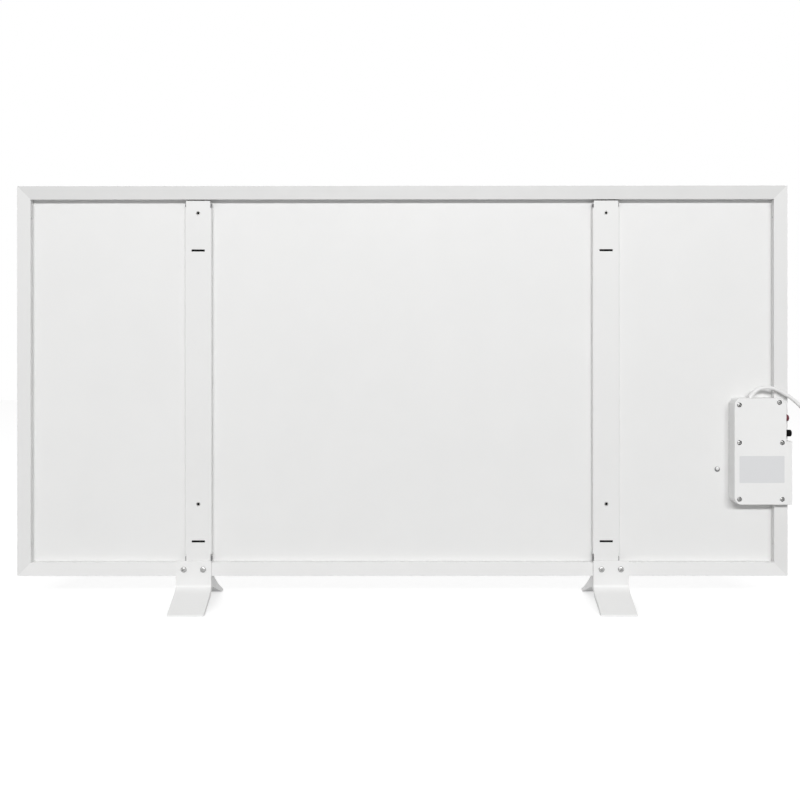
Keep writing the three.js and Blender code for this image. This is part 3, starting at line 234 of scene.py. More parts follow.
def moulded(name, colour, grain=0.0006, depth=1.2e-5, rough=(0.42, 0.55), darker=0.02, specular=0.4):
    """Moulded plastic with a fine grain and a slight waviness."""
    maker = Maker(name)
    base = dusted(maker, colour, darker, size=0.05)
    roughness = roughened(maker, 0.012, rough)
    normal = maker.bump(maker.cells(grain), depth)
    normal = maker.bump(maker.noise(0.014, detail=2), depth * 1.6, normal)
    maker.surface(
        Base_Color=base, Roughness=roughness, Normal=normal, Specular_IOR_Level=specular
    )


def turned_metal(name, colour, rough=(0.24, 0.42), darker=0.16):
    maker = Maker(name)
    tone = maker.noise(0.0018, detail=4, rough=0.6)
    base = maker.ramp(tone, [(0.3, shade(colour, darker)), (0.7, colour)])
    roughness = roughened(maker, 0.0009, rough)
    normal = maker.bump(maker.noise(0.0004, detail=2), 4e-6)
    maker.surface(Base_Color=base, Metallic=1.0, Roughness=roughness, Normal=normal)


# ---------------------------------------------------------------- materials
MATERIALS = {}
UPRIGHT = (1, 1, 0.02)  # stretch of the fine lines along an upright drawn profile
LEVEL = (0.02, 1, 1)  # and along a level one
PAINTS = {  # the tones differ a little: the frame rails' are painted light and shade, the top rail darker, the side rails a little darker and the bottom rail lighter than the plate; each has its lines' stretch
    "white_paint": ((0.795, 0.795, 0.79), None),
    "rail_paint": ((0.785, 0.785, 0.78), UPRIGHT),
    # the side rails' tones: a little darker than the plate, as painted shade
    "frame_left_paint": ((0.755, 0.755, 0.75), UPRIGHT),
    "frame_right_paint": ((0.75, 0.75, 0.745), UPRIGHT),
    "frame_top_shaded_paint": ((0.67, 0.67, 0.665), LEVEL),
    "frame_bottom_lit_paint": ((0.815, 0.815, 0.81), LEVEL),
    "foot_paint": ((0.825, 0.825, 0.82), LEVEL),
}


def make_materials():
    for name, (colour, drawn) in PAINTS.items():
        powder_coat(name, colour, drawn)
    moulded("white_plastic", (0.83, 0.83, 0.825), specular=0.42)
    turned_metal("zinc", (0.50, 0.50, 0.49))
    turned_metal("cast_aluminium", (0.6, 0.6, 0.59), (0.45, 0.65))
    moulded("black_plastic", (0.002, 0.002, 0.0022), 0.0005, 8e-6, (0.55, 0.66), 0.2, 0.06)
    turned_metal("nickel", (0.74, 0.72, 0.68), (0.12, 0.26), darker=0.08)
    moulded("relay", (0.10, 0.27, 0.52), 0.0005, 5e-6, (0.25, 0.35), 0.08)
    moulded("lead", (0.55, 0.1, 0.07), 0.0008, 5e-6, (0.35, 0.5), 0.1)
    sheath()
    lens()
    film()
    wool()
    laminate()
    moulded("grey_sticker", (0.70, 0.705, 0.715), 0.0009, 3e-6, (0.3, 0.38), 0.015)
    turned_metal("screw_zinc", (0.46, 0.46, 0.455), (0.22, 0.4))
    # dark grey for painted shade in the counterbores and notches, and for the rivet's ring
    moulded("rivet_and_shade_grey", (0.20, 0.20, 0.205), 0.0007, 4e-6, (0.35, 0.5), 0.12)
    moulded("tie", (0.74, 0.74, 0.735), 0.0007, 6e-6, (0.4, 0.5), 0.03)
    # near black for painted shade in the rails' slots and deep in the inserts' bores
    moulded("hole_shade", (0.006, 0.006, 0.006), 0.0008, 5e-6, (0.6, 0.7), 0.2, 0.05)


def sheath():
    """Smooth white PVC, faintly uneven over the conductors inside."""
    maker = Maker("cord")
    base = dusted(maker, (0.80, 0.80, 0.795), darker=0.03, size=0.03)
    roughness = roughened(maker, 0.008, (0.36, 0.5))
    normal = maker.bump(maker.noise(0.009, detail=2), 3e-5)
    normal = maker.bump(maker.noise(0.0007, detail=2), 5e-6, normal)
    maker.surface(Base_Color=base, Roughness=roughness, Normal=normal, Specular_IOR_Level=0.45)


def lens():
    maker = Maker("red_lens")
    tone = maker.noise(0.0014, detail=3, rough=0.6)
    base = maker.ramp(tone, [(0.3, (0.10, 0.004, 0.016)), (0.7, (0.20, 0.009, 0.032))])
    normal = maker.bump(maker.cells(0.0009), 4e-5)
    maker.surface(
        Base_Color=base, Roughness=0.2, Normal=normal, Transmission_Weight=0.2, IOR=1.49,
        Coat_Weight=0.25, Coat_Roughness=0.08,
    )


def film():
    """Carbon film in bars 16 mm apart."""
    maker = Maker("film")
    bars = maker.spread(maker.waves(0.016, "X"), 0, 1, start=0.3, end=0.36)
    base = maker.blend(bars, (0.05, 0.05, 0.055), (0.14, 0.14, 0.15))
    normal = maker.bump(maker.noise(0.003, detail=3), 1e-5)
    maker.surface(Base_Color=base, Roughness=0.45, Normal=normal)


def wool():
    maker = Maker("insulation")
    fibres = maker.noise(0.0012, detail=5, rough=0.7, stretch=(1, 0.25, 1), distortion=1.2)
    base = maker.ramp(fibres, [(0.3, (0.42, 0.37, 0.22)), (0.7, (0.68, 0.62, 0.43))])
    normal = maker.bump(fibres, 6e-4)
    maker.surface(Base_Color=base, Roughness=0.95, Normal=normal, Sheen_Weight=0.3)


def laminate():
    """A circuit board: pale tracks between cells, on a fine weave."""
    maker = Maker("board")
    tracks = maker.spread(maker.cells(0.004, "DISTANCE_TO_EDGE"), 0, 1, start=0.05, end=0.09)
    base = maker.blend(tracks, (0.02, 0.13, 0.06), (0.045, 0.24, 0.11))
    normal = maker.bump(maker.waves(0.0008, "Z"), 4e-6)
    maker.surface(Base_Color=base, Roughness=0.38, Normal=normal, Coat_Weight=0.3)


make_materials()

FINISHES = [  # the starts of the CAD nodes' names and their material
    (("frame_top",), "frame_top_shaded_paint"),
    (("frame_bottom",), "frame_bottom_lit_paint"),
    (("frame_left",), "frame_left_paint"),
    (("frame_right",), "frame_right_paint"),
    (("foot_left", "foot_right"), "foot_paint"),
    (("back_rail_",), "rail_paint"),
    (("back_plate", "front_panel", "plate_stud"), "white_paint"),
    (("control_box_", "cord_gland", "cord_clamp", "terminal_block"), "white_plastic"),
    (("pilot_body", "plug_body"), "white_plastic"),
    (("rail_insert_", "nut_plate_", "foot_screw_", "lid_screw_", "box_screw_"), "zinc"),
    (("corner_key_",), "cast_aluminium"),
    (("power_cord", "cord_coil", "cord_tail", "inner_cord"), "cord"),
    (("push_button", "switch_body", "power_module"), "black_plastic"),
    (("thermal_cutout", "lead_grommet"), "black_plastic"),
    (("pilot_lens",), "red_lens"),
    (("heating_film",), "film"),
    (("insulation_board",), "insulation"),
    (("circuit_board",), "board"),
    (("relay",), "relay"),
    (("plug_pins", "button_spring"), "nickel"),
    (("film_lead_",), "lead"),
]


def finish_of(node):
    for starts, name in FINISHES:
        if node.startswith(starts):
            return name
    raise ValueError("no finish for " + node)


# ---------------------------------------------------------------- softened edges on the CAD nodes
EDGE_WIDTHS = [
    (("foot_left", "foot_right"), 0.45 * MM),
    (("frame_", "back_rail_"), 0.35 * MM),
    (("control_box_",), 0.6 * MM),
    (("plate_stud", "nut_plate_", "corner_key_"), 0.3 * MM),
    (("switch_body", "relay", "power_module", "terminal_block"), 0.3 * MM),
]
CREASE = 35  # degrees: an edge that turns more is shaded sharp
SAME_PLACE = 1e-7  # vertices nearer than this are one, in the builder's own meshes
WELD_REACH = 2e-6  # and in the CAD's
FLAT = 0.6  # degrees: faces that turn less are one flat face
BEVEL_FROM = 40  # degrees: an edge that turns more is softened


def shading_group():
    """Smooth shading with sharp edges above CREASE, as a modifier: the CAD mesh stays as it is."""
    group = bpy.data.node_groups.new("shade_by_angle", "GeometryNodeTree")
    for way in ("INPUT", "OUTPUT"):
        group.interface.new_socket("Geometry", in_out=way, socket_type="NodeSocketGeometry")
    entry = group.nodes.new("NodeGroupInput")
    leave = group.nodes.new("NodeGroupOutput")
    drop = group.nodes.new("GeometryNodeRemoveAttribute")
    drop.inputs["Name"].default_value = "custom_normal"
    angle = group.nodes.new("GeometryNodeInputMeshEdgeAngle")
    wide = group.nodes.new("FunctionNodeCompare")
    wide.data_type = "FLOAT"
    wide.operation = "GREATER_THAN"
    wide.inputs[1].default_value = math.radians(CREASE)
    faces = group.nodes.new("GeometryNodeSetShadeSmooth")
    faces.domain = "FACE"
    edges = group.nodes.new("GeometryNodeSetShadeSmooth")
    edges.domain = "EDGE"
    edges.inputs["Shade Smooth"].default_value = False
    link = group.links.new
    link(entry.outputs[0], drop.inputs["Geometry"])
    link(drop.outputs["Geometry"], faces.inputs["Geometry"])
    link(faces.outputs["Geometry"], edges.inputs["Geometry"])
    link(angle.outputs["Unsigned Angle"], wide.inputs[0])
    link(wide.outputs["Result"], edges.inputs["Selection"])
    link(edges.outputs["Geometry"], leave.inputs[0])
    return group


SHADING = shading_group()


def soften(node, width):
    """Bevels of that width on the node's edges, or none for 0, and smooth shading."""
    piece = NODES[node]
    weld = piece.modifiers.new("weld", "WELD")
    weld.merge_threshold = WELD_REACH
    if width:
        flat = piece.modifiers.new("flat", "DECIMATE")
        flat.decimate_type = "DISSOLVE"
        flat.angle_limit = math.radians(FLAT)
        bevel = piece.modifiers.new("bevel", "BEVEL")
        bevel.width = width
        bevel.segments = 3
        bevel.limit_method = "ANGLE"
        bevel.angle_limit = math.radians(BEVEL_FROM)
        bevel.use_clamp_overlap = True
    shade = piece.modifiers.new("shade", "NODES")
    shade.node_group = SHADING
    if width:
        even = piece.modifiers.new("even", "WEIGHTED_NORMAL")
        even.keep_sharp = True


def dress_nodes():
    for node, piece in NODES.items():
        piece.data.materials.clear()
        piece.data.materials.append(MATERIALS[finish_of(node)])
        width = next((w for starts, w in EDGE_WIDTHS if node.startswith(starts)), 0)
        soften(node, width)


dress_nodes()

# ---------------------------------------------------------------- mesh helpers


def new_piece(name, mesh, finish, body="heater", replaces=()):
    piece = bpy.data.objects.new(name, mesh)
    bpy.context.scene.collection.objects.link(piece)
    mesh.materials.clear()
    mesh.materials.append(MATERIALS[finish])
    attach(piece, body)
    if replaces:
        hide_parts(*replaces)
    return piece


def mesh_from(name, bm, crease=CREASE):
    bmesh.ops.recalc_face_normals(bm, faces=bm.faces)
    for face in bm.faces:
        face.smooth = True
    for edge in bm.edges:
        between = len(edge.link_faces) == 2
        edge.smooth = between and edge.calc_face_angle(0) < math.radians(crease)
    mesh = bpy.data.meshes.new(name)
    bm.to_mesh(mesh)
    bm.free()
    return mesh


def axis_frame(centre, axis):
    """A matrix whose local Z points along axis, which isn't upright, placed at centre."""
    z = Vector(axis).normalized()
    x = Vector((0, 0, 1)).cross(z).normalized()
    y = z.cross(x)
    turn = Matrix((x, y, z)).transposed().to_4x4()
    return Matrix.Translation(centre) @ turn


def in_metres(points):
    return [tuple(value * MM for value in point) for point in points]


def lathe(profile, sides=48):
    """A closed body turned about local Z from (radius, height) points; ends on the axis are closed."""
    bm = bmesh.new()
    rings = []
    angles = [2 * math.pi * i / sides for i in range(sides)]
    for radius, height in profile:
        places = [(radius * math.cos(a), radius * math.sin(a), height) for a in angles]
        if radius == 0:
            places = [(0, 0, height)]
        rings.append([bm.verts.new(place) for place in places])
    for one, other in zip(rings, rings[1:]):
        for i in range(sides):
            j = (i + 1) % sides
            corners = [one[i % len(one)], one[j % len(one)]]
            corners += [other[j % len(other)], other[i % len(other)]]
            unique = list(dict.fromkeys(corners))
            if len(unique) > 2:
                bm.faces.new(unique)
    return bm


# ---------------------------------------------------------------- mains cord
CORD_RADIUS = 2.9
CORD_START = (538.0, -22.0, 323.3)
CORD_DROP = [  # from CORD_START: out of the sleeve, over and down
    (0, 0, 0), (4.2, -0.1, 6.11), (9.88, -0.4, 10.8), (16.67, -0.8, 13.79), (23.96, -1.2, 14.8),
    (36.5, -2, 12.9), (49.6, -2.6, 6.6), (62.7, -3.2, -2), (75.2, -4, -13.2), (90, -4.6, -31),
    (104, -5.3, -54), (116, -6, -85), (124.5, -6, -123), (129, -6, -170), (130, -4.5, -220),
    (131, -2, -262),
]
CORD_LANDING = [  # the same across, with the height above where the cord lies on the floor
    (131.5, -1.2, 36), (134.61, -0.8, 21.36), (143.41, -0.4, 9.25), (155.19, -0.1, 2.6),
    (167.19, 0, 0.35), (181.19, 0, 0.04), (197.19, 0, 0),
]
COIL_MEAN = 35.0  # radius at the middle of the turns
COIL_SIDE_TURNS = 3  # in each of its two layers
COIL_DEEPEST = COIL_SIDE_TURNS + 0.25  # turns wound inwards before it winds outwards
COIL_EASE = 0.12  # turns that the change between the two takes
COIL_PITCH = 6.9
COIL_RISE = 6.4  # of the upper layer over the lower
COIL_CLIMB = 0.5  # turns that the rise takes
COIL_STEPS = 24  # a turn
COIL_RADIUS = COIL_MEAN + COIL_PITCH * COIL_DEEPEST / 2
COIL_TURNS = 2 * COIL_DEEPEST
COIL_CENTRE = (815.0, -22.0 + COIL_RADIUS)
LEAD = 2 * CORD_RADIUS  # of straight cord before and after the coil and the plug
GAP = 0.3
PLUG_RADIUS = 18.5
PLUG_DISTANCE = 62  # from the coil's end to the plug


def coil_point(turn):
    inward = COIL_DEEPEST - math.hypot(turn - COIL_DEEPEST, COIL_EASE)
    radius = COIL_RADIUS - COIL_PITCH * inward
    t = min(max((turn - COIL_SIDE_TURNS) / COIL_CLIMB, 0), 1)
    rise = COIL_RISE * t * t * (3 - 2 * t)
    angle = 2 * math.pi * turn - math.pi / 2
    x = COIL_CENTRE[0] + radius * math.cos(angle)
    y = COIL_CENTRE[1] + radius * math.sin(angle)
    return (x, y, CORD_RADIUS + rise)


def cord_points():
    x, y, z = CORD_START
    floor = CORD_RADIUS
    route = [(x + dx, y + dy, z + dz) for dx, dy, dz in CORD_DROP]
    route += [(x + dx, y + dy, floor + dz) for dx, dy, dz in CORD_LANDING]
    route += [(COIL_CENTRE[0] - 2 * LEAD - GAP, y, floor), (COIL_CENTRE[0] - LEAD, y, floor)]
    steps = int(COIL_TURNS * COIL_STEPS)
    route += [coil_point(COIL_TURNS * i / steps) for i in range(steps + 1)]
    last = coil_point(COIL_TURNS)
    end = (last[0] - LEAD, last[1], last[2])
    plug = (end[0] - PLUG_DISTANCE, end[1], PLUG_RADIUS)
    route += [
        end,
        (end[0] - GAP - LEAD, *end[1:]),
        (end[0] - PLUG_DISTANCE / 2, end[1], (end[2] + plug[2]) / 2),
        (plug[0] + GAP + LEAD, *plug[1:]),
        (plug[0] + GAP, *plug[1:]),
    ]
    return [Vector(p) * MM for p in route]


def smooth_spline(name, points, radius, finish):
    """One open Bezier spline through the points, with centripetal tangents.

    Each end's tangent comes from a point beyond it: the start's from the first three points' parabola,
    the end's from the last two points' straight line.
    """
    data = bpy.data.curves.new(name, "CURVE")
    data.dimensions = "3D"
    data.resolution_u = 8
    data.bevel_depth = radius
    data.bevel_resolution = 6
    data.use_fill_caps = True
    spline = data.splines.new("BEZIER")
    spline.bezier_points.add(len(points) - 1)
    beyond_start = points[0] * 3 - points[1] * 3 + points[2]
    beyond_end = points[-1] * 2 - points[-2]
    ends = [beyond_start, *points, beyond_end]
    for i, point in enumerate(spline.bezier_points):
        p0, p1, p2 = ends[i], ends[i + 1], ends[i + 2]
        before = (p1 - p0).length ** 0.5
        after = (p2 - p1).length ** 0.5
        tangent = (p1 - p0) / before - (p2 - p0) / (before + after) + (p2 - p1) / after
        point.co = p1
        point.handle_left_type = "FREE"
        point.handle_right_type = "FREE"
        point.handle_left = p1 - tangent * before / 3
        point.handle_right = p1 + tangent * after / 3
    data.materials.append(MATERIALS[finish])
    piece = bpy.data.objects.new(name, data)
    bpy.context.scene.collection.objects.link(piece)
    return piece


def add_cord():
    points = cord_points()
    piece = smooth_spline("mains_cord", points, CORD_RADIUS * MM, "cord")
    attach(piece, "heater")
    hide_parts("power_cord", "cord_coil", "cord_tail")
    return piece, points


CORD, CORD_ROUTE = add_cord()

# ---------------------------------------------------------------- screws and inserts
LID_SCREW_TOP = -31.3  # y of the head's flat top
LID_HEAD = 2.0
FOOT_HEAD = 2.6
# the y and the profile of a thin dark grey ring that paints the shade in each lid screw's counterbore
COUNTERBORE_SHADE_Y = -29.35
COUNTERBORE_SHADE_PROFILE = [(1.8, 0), (3.7, 0), (3.7, 1.5), (3.45, 1.5), (3.4, 0.3), (1.8, 0.3), (1.8, 0)]
LID_SCREWS = {  # degrees that each cross is turned, as for the feet's below
    "top_left": 24, "top_right": 61, "middle_left": 8, "middle_right": 40,
    "bottom_left": 77, "bottom_right": 52,
}
FOOT_SCREWS = {"left_outer": 33, "left_inner": 12, "right_inner": 70, "right_outer": 49}
# the rivet's dark grey ring: partly its own tone, partly painted shade round the head
RIVET_SHADE_RING = [
    (0, -0.8), (3.9, -0.8), (4.2, -0.2), (4.1, 0.5), (3.5, 1.0), (2.6, 1.1), (0, 1.15),
]
RIVET_HEAD = [(0, 0.2), (2.5, 0.2), (2.7, 1.1), (2.4, 1.75), (1.5, 2.05), (0, 2.1)]
BACKWARDS = (0, -1, 0)


def centre_of(node):
    low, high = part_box(node)
    return [(low[i] + high[i]) / 2 for i in range(3)], low, high


def cross_outline(reach, half):
    """Twelve corners of a cross, counter-clockwise."""
    arm = [(reach, -half), (reach, half), (half, half)]
    corners = []
    for quarter in range(4):
        c, t = math.cos(quarter * math.pi / 2), math.sin(quarter * math.pi / 2)
        corners += [(x * c - y * t, x * t + y * c) for x, y in arm]
    return corners


def screw_mesh(name, radius, height, flat, reach, half, depth, shank, length, turn):
    """A screw along local Z: shank below 0, head from 0 to height with a round rim and a cross recess.

    The head's top is flat out to the radius flat. The cross's arms are 2 * half wide, go out to reach
    and are depth deep. shank is the shank's radius.
    """
    rim = height * 0.45
    profile = [(0, -length), (shank * 0.4, -length), (shank, -length + shank), (shank, 0)]
    profile += [(radius * 0.97, 0), (radius, height * 0.12), (radius, rim)]
    steps = 5
    for i in range(1, steps + 1):
        t = i / steps * math.pi / 2
        profile.append((flat + (radius - flat) * math.cos(t), rim + (height - rim) * math.sin(t)))
    bm = lathe(profile, 40)
    bm.verts.ensure_lookup_table()
    edge = [v for v in bm.verts if abs(v.co.z - height) < 1e-9]
    edge.sort(key=lambda v: math.atan2(v.co.y, v.co.x))
    outline = cross_outline(reach, half)
    count = len(outline)
    c, t = math.cos(turn), math.sin(turn)
    top = [bm.verts.new((x * c - y * t, x * t + y * c, height)) for x, y in outline]
    deep = [bm.verts.new((v.co.x * 0.7, v.co.y * 0.7, height - depth)) for v in top]
    bm.edges.index_update()
    loops = []
    for ring in (edge, top):
        for i, vertex in enumerate(ring):
            after = ring[(i + 1) % len(ring)]
            loops.append(bm.edges.get((vertex, after)) or bm.edges.new((vertex, after)))
    bmesh.ops.triangle_fill(bm, edges=loops, use_beauty=True)
    for face in [f for f in bm.faces if all(v in top for v in f.verts)]:
        bm.faces.remove(face)
    for i in range(count):
        j = (i + 1) % count
        bm.faces.new((top[i], top[j], deep[j], deep[i]))
    bottom = [bm.edges.get((deep[i], deep[(i + 1) % count])) for i in range(count)]
    bmesh.ops.triangle_fill(bm, edges=bottom)
    return mesh_from(name, bm, crease=50)


def place_mesh(mesh, centre, axis):
    mesh.transform(axis_frame(centre, axis))
    return mesh


def add_lid_screws():
    """The lid's screws, each over a thin dark grey ring in its counterbore, painted as the
    counterbore's shade.
    """
    under_head = (LID_SCREW_TOP + LID_HEAD) * MM
    for name, angle in LID_SCREWS.items():
        node = "lid_screw_" + name
        centre, low, high = centre_of(node)
        radius = (high[0] - low[0]) / 2
        mesh = screw_mesh(
            node + "_head", radius=radius * 0.95, height=LID_HEAD * MM, flat=radius * 0.6,
            reach=radius * 0.66, half=0.46 * MM, depth=1.8 * MM, shank=1.4 * MM,
            length=high[1] - under_head, turn=math.radians(angle),
        )
        place_mesh(mesh, (centre[0], under_head, centre[2]), BACKWARDS)
        new_piece(node + "_head", mesh, "screw_zinc", replaces=[node])
        ring = lathe(in_metres(COUNTERBORE_SHADE_PROFILE), 40)
        bmesh.ops.remove_doubles(ring, verts=ring.verts, dist=SAME_PLACE)
        shade_mesh = mesh_from(node + "_counterbore_shade", ring)
        place_mesh(shade_mesh, (centre[0], COUNTERBORE_SHADE_Y * MM, centre[2]), BACKWARDS)
        new_piece(node + "_counterbore_shade", shade_mesh, "rivet_and_shade_grey")


def add_foot_screws():
    height = FOOT_HEAD * MM
    for name, angle in FOOT_SCREWS.items():
        node = "foot_screw_" + name
        centre, low, high = centre_of(node)
        radius = (high[0] - low[0]) / 2
        mesh = screw_mesh(
            node + "_head", radius=radius, height=height, flat=radius * 0.5, reach=radius * 0.6,
            half=0.62 * MM, depth=1.7 * MM, shank=2.0 * MM, length=high[1] - low[1] - height,
            turn=math.radians(angle),
        )
        place_mesh(mesh, (centre[0], low[1] + height, centre[2]), BACKWARDS)
        new_piece(node + "_head", mesh, "screw_zinc", replaces=[node])


def add_inserts():
    """Threaded inserts: a chamfered flange, a bore with thread ridges, and a dark disc deep in it,
    painted as the bore's shade.
    """
    bore, outside, flange, ridge, sunk = [size * MM for size in (2.0, 2.45, 0.9, 0.16, 3.4)]
    ridges = 9
    for node in [f"rail_insert_{s}_{level}" for s in ("left", "right") for level in ("upper", "lower")]:
        centre, low, high = centre_of(node)
        radius = (high[0] - low[0]) / 2
        end = -(high[1] - low[1]) + flange
        profile = [(bore, end)]
        for i in range(ridges):
            profile.append((bore - (ridge if i % 2 else 0), end - (i + 0.5) / ridges * end))
        profile += [(bore + 0.05 * MM, 0.55 * MM), (bore + 0.4 * MM, flange)]
        profile += [(radius - 0.5 * MM, flange), (radius, 0.45 * MM), (radius, 0)]
        profile += [(outside, 0), (outside, end), (bore, end)]
        bm = lathe(profile, 36)
        bmesh.ops.remove_doubles(bm, verts=bm.verts, dist=SAME_PLACE)
        mesh = mesh_from(node + "_turned", bm)
        place_mesh(mesh, (centre[0], low[1] + flange, centre[2]), BACKWARDS)
        new_piece(node + "_turned", mesh, "zinc", replaces=[node])
        # a dark disc deep in the bore: painted shade
        plug = [(0, 0), (bore * 0.86, 0), (bore * 0.86, 0.8 * MM)]
        plug += [(bore * 0.4, 1.1 * MM), (0, 1.2 * MM)]
        mesh = mesh_from(node + "_depth", lathe(plug, 24))
        place_mesh(mesh, (centre[0], low[1] + sunk, centre[2]), BACKWARDS)
        new_piece(node + "_depth", mesh, "hole_shade")


def slab(name, outline, y):
    """A closed plate between the two y values, with an outline of (x, z) points."""
    bm = bmesh.new()
    front = [bm.verts.new((px, y[0], pz)) for px, pz in outline]
    back = [bm.verts.new((px, y[1], pz)) for px, pz in outline]
    bm.faces.new(front)
    bm.faces.new(list(reversed(back)))
    for i in range(len(outline)):
        j = (i + 1) % len(outline)
        bm.faces.new((front[i], back[i], back[j], front[j]))
    return mesh_from(name, bm)


def rounded_plate(name, x, z, y, corner):
    """A slab with rounded corners between two x, two z and two y values, in metres."""
    steps = 4
    outline = []
    corners = [(x[1], z[1], 0), (x[0], z[1], 1), (x[0], z[0], 2), (x[1], z[0], 3)]
    for cx, cz, quarter in corners:
        mx = cx - corner if cx == x[1] else cx + corner
        mz = cz - corner if cz == z[1] else cz + corner
        for i in range(steps + 1):
            t = (quarter + i / steps) * math.pi / 2
            outline.append((mx + corner * math.cos(t), mz + corner * math.sin(t)))
    return slab(name, outline, y)


def add_sticker():
    """The bare sticker on the lid, 0.12 mm thick."""
    across, up, through = (0.5176, 0.5866), (0.1921, 0.2334), (-0.03262, -0.0325)
    mesh = rounded_plate("plain_sticker", across, up, through, corner=0.0012)
    new_piece("plain_sticker", mesh, "grey_sticker")


def add_slot_shades():
    """Painted shade: dark sheets at the bottoms of the slots in the back rails, whose insides lie in
    shade.
    """
    reach, half, through = 0.01015, 0.0015, (-0.01665, -0.0150)
    for side, x in (("left", -0.3165), ("right", 0.3165)):
        for level, z in (("upper", 0.551), ("lower", 0.0995)):
            name = f"slot_shade_{side}_{level}"
            across, up = (x - reach, x + reach), (z - half, z + half)
            new_piece(name, rounded_plate(name, across, up, through, corner=0.0004), "hole_shade")


def add_notch_shades():
    """Painted shade: dark grey sheets inside the back rails, seen through the notches at their corners,
    where the insides lie in shade.
    """
    outer, inner = (336.9, 336.0), (296.1, 297.0)
    through = (-0.0150, -0.0100)
    for side, other, sign in (("left", "right", -1), ("right", "left", 1)):
        for edge, wall in ((side, outer), (other, inner)):
            for level, low, high in (("upper", 619.2, 624.6), ("lower", 68.8, 76.0)):
                name = f"notch_liner_{side}_{edge}_{level}"
                across = sorted(sign * x * MM for x in wall)
                mesh = rounded_plate(name, across, (low * MM, high * MM), through, corner=0.0004)
                new_piece(name, mesh, "rivet_and_shade_grey")


def add_rivet():
    """A painted rivet: a raised white head that sits a little high in a dark grey ring; the ring's dark
    is partly its own and partly painted shade round the head.
    """
    centre = centre_of("plate_stud")[0]
    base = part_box("back_plate")[0][1]
    # the head sits high so that the ring's painted shade shows beside and below it
    lift = 1.1 * MM
    ring = lathe(in_metres(RIVET_SHADE_RING), 40)
    mesh = place_mesh(mesh_from("plate_rivet_shade_ring", ring), (centre[0], base, centre[2]), BACKWARDS)
    new_piece("plate_rivet_shade_ring", mesh, "rivet_and_shade_grey", replaces=["plate_stud"])
    mesh = mesh_from("plate_rivet_head", lathe(in_metres(RIVET_HEAD), 36))
    place_mesh(mesh, (centre[0], base, centre[2] + lift), BACKWARDS)
    new_piece("plate_rivet_head", mesh, "white_paint")


# ---------------------------------------------------------------- lamp, button and sleeve
LAMP_SHORTER = 0.5  # than its solid, as in the photograph
LAMP_DOME = 3.4
BUTTON_RADIUS = 5.2
BUTTON_SHORTER = 1.4
BUTTON_ROUNDING = 0.9
STEM_END = 10.0  # from the stem's inner end, as the collar's
COLLAR_END = 11.2
SLEEVE_LENGTH = 22.0
SLEEVE_BEND = 26.8
SLEEVE_TILT = 26.55  # degrees from straight up, at its start


def add_lamp():
    """A grooved collar and a shallow dome."""
    centre, low, high = centre_of("pilot_lens")
    radius = (high[2] - low[2]) / 2
    tall = high[0] - low[0] - LAMP_SHORTER * MM
    collar = tall - LAMP_DOME * MM
    groove = radius * 0.94
    profile = [(0, 0), (radius, 0), (radius, collar * 0.3), (groove, collar * 0.36)]
    profile += [(groove, collar * 0.5), (radius, collar * 0.56), (radius, collar)]
    steps = 10
    for i in range(1, steps + 1):
        t = i / steps * math.pi / 2
        reach = radius * math.cos(t) if i < steps else 0
        profile.append((reach, collar + (tall - collar) * math.sin(t)))
    mesh = mesh_from("pilot_dome", lathe(profile))
    place_mesh(mesh, (low[0], centre[1], centre[2]), (1, 0, 0))
    new_piece("pilot_dome", mesh, "red_lens", replaces=["pilot_lens"])


def add_button():
    """The cap with a rounded, slightly dished end, on its collar and stem."""
    centre, low, high = centre_of("push_button")
    radius, rounding = BUTTON_RADIUS * MM, BUTTON_ROUNDING * MM
    collar = (high[2] - low[2]) / 2
    total = high[0] - low[0] - BUTTON_SHORTER * MM
    stem, collar_high = STEM_END * MM, COLLAR_END * MM
    profile = [(0, 0), (1.3 * MM, 0), (1.6 * MM, 0.3 * MM), (1.6 * MM, stem), (collar, stem)]
    profile += [(collar, collar_high), (radius, collar_high), (radius, total - rounding)]
    steps = 6
    for i in range(1, steps + 1):
        t = i / steps * math.pi / 2
        reach = radius - rounding * (1 - math.cos(t))
        profile.append((reach, total - rounding * (1 - math.sin(t))))
    profile += [(2.6 * MM, total - 0.18 * MM), (0, total - 0.32 * MM)]
    mesh = mesh_from("button_cap", lathe(profile))
    place_mesh(mesh, (low[0], centre[1], centre[2]), (1, 0, 0))
    new_piece("button_cap", mesh, "black_plastic", body="button", replaces=["push_button"])


def swept(name, points, radii, sides):
    """A closed tube through points with its own radius at each; the ends are flat."""
    bm = bmesh.new()
    rings = []
    normal = Vector(BACKWARDS)
    angles = [2 * math.pi * k / sides for k in range(sides)]
    for i, point in enumerate(points):
        ahead = points[min(i + 1, len(points) - 1)]
        behind = points[max(i - 1, 0)]
        along = (ahead - behind).normalized()
        across = along.cross(normal).normalized()
        up = across.cross(along).normalized()
        rings.append([
            bm.verts.new(point + radii[i] * (across * math.cos(a) + up * math.sin(a)))
            for a in angles
        ])
    for one, other in zip(rings, rings[1:]):
        for k in range(sides):
            j = (k + 1) % sides
            bm.faces.new((one[k], one[j], other[j], other[k]))
    bm.faces.new(rings[0])
    bm.faces.new(list(reversed(rings[-1])))
    return mesh_from(name, bm)


def add_spring():
    """The return spring behind the button, built at one length in a mesh of its own."""
    centre, low, high = centre_of("button_spring")
    wire = 0.35 * MM
    coil = (high[2] - low[2]) / 2 - wire
    start, end = low[0] + wire, high[0] - wire
    turns, steps = 3, 72
    points = []
    for i in range(steps + 1):
        t = i / steps
        a = 2 * math.pi * turns * t
        y, z = centre[1] + coil * math.sin(a), centre[2] + coil * math.cos(a)
        points.append(Vector((start + (end - start) * t, y, z)))
    mesh = swept("return_spring", points, [wire] * len(points), 8)
    piece = new_piece("return_spring", mesh, "nickel", replaces=["button_spring"])
    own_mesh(piece)


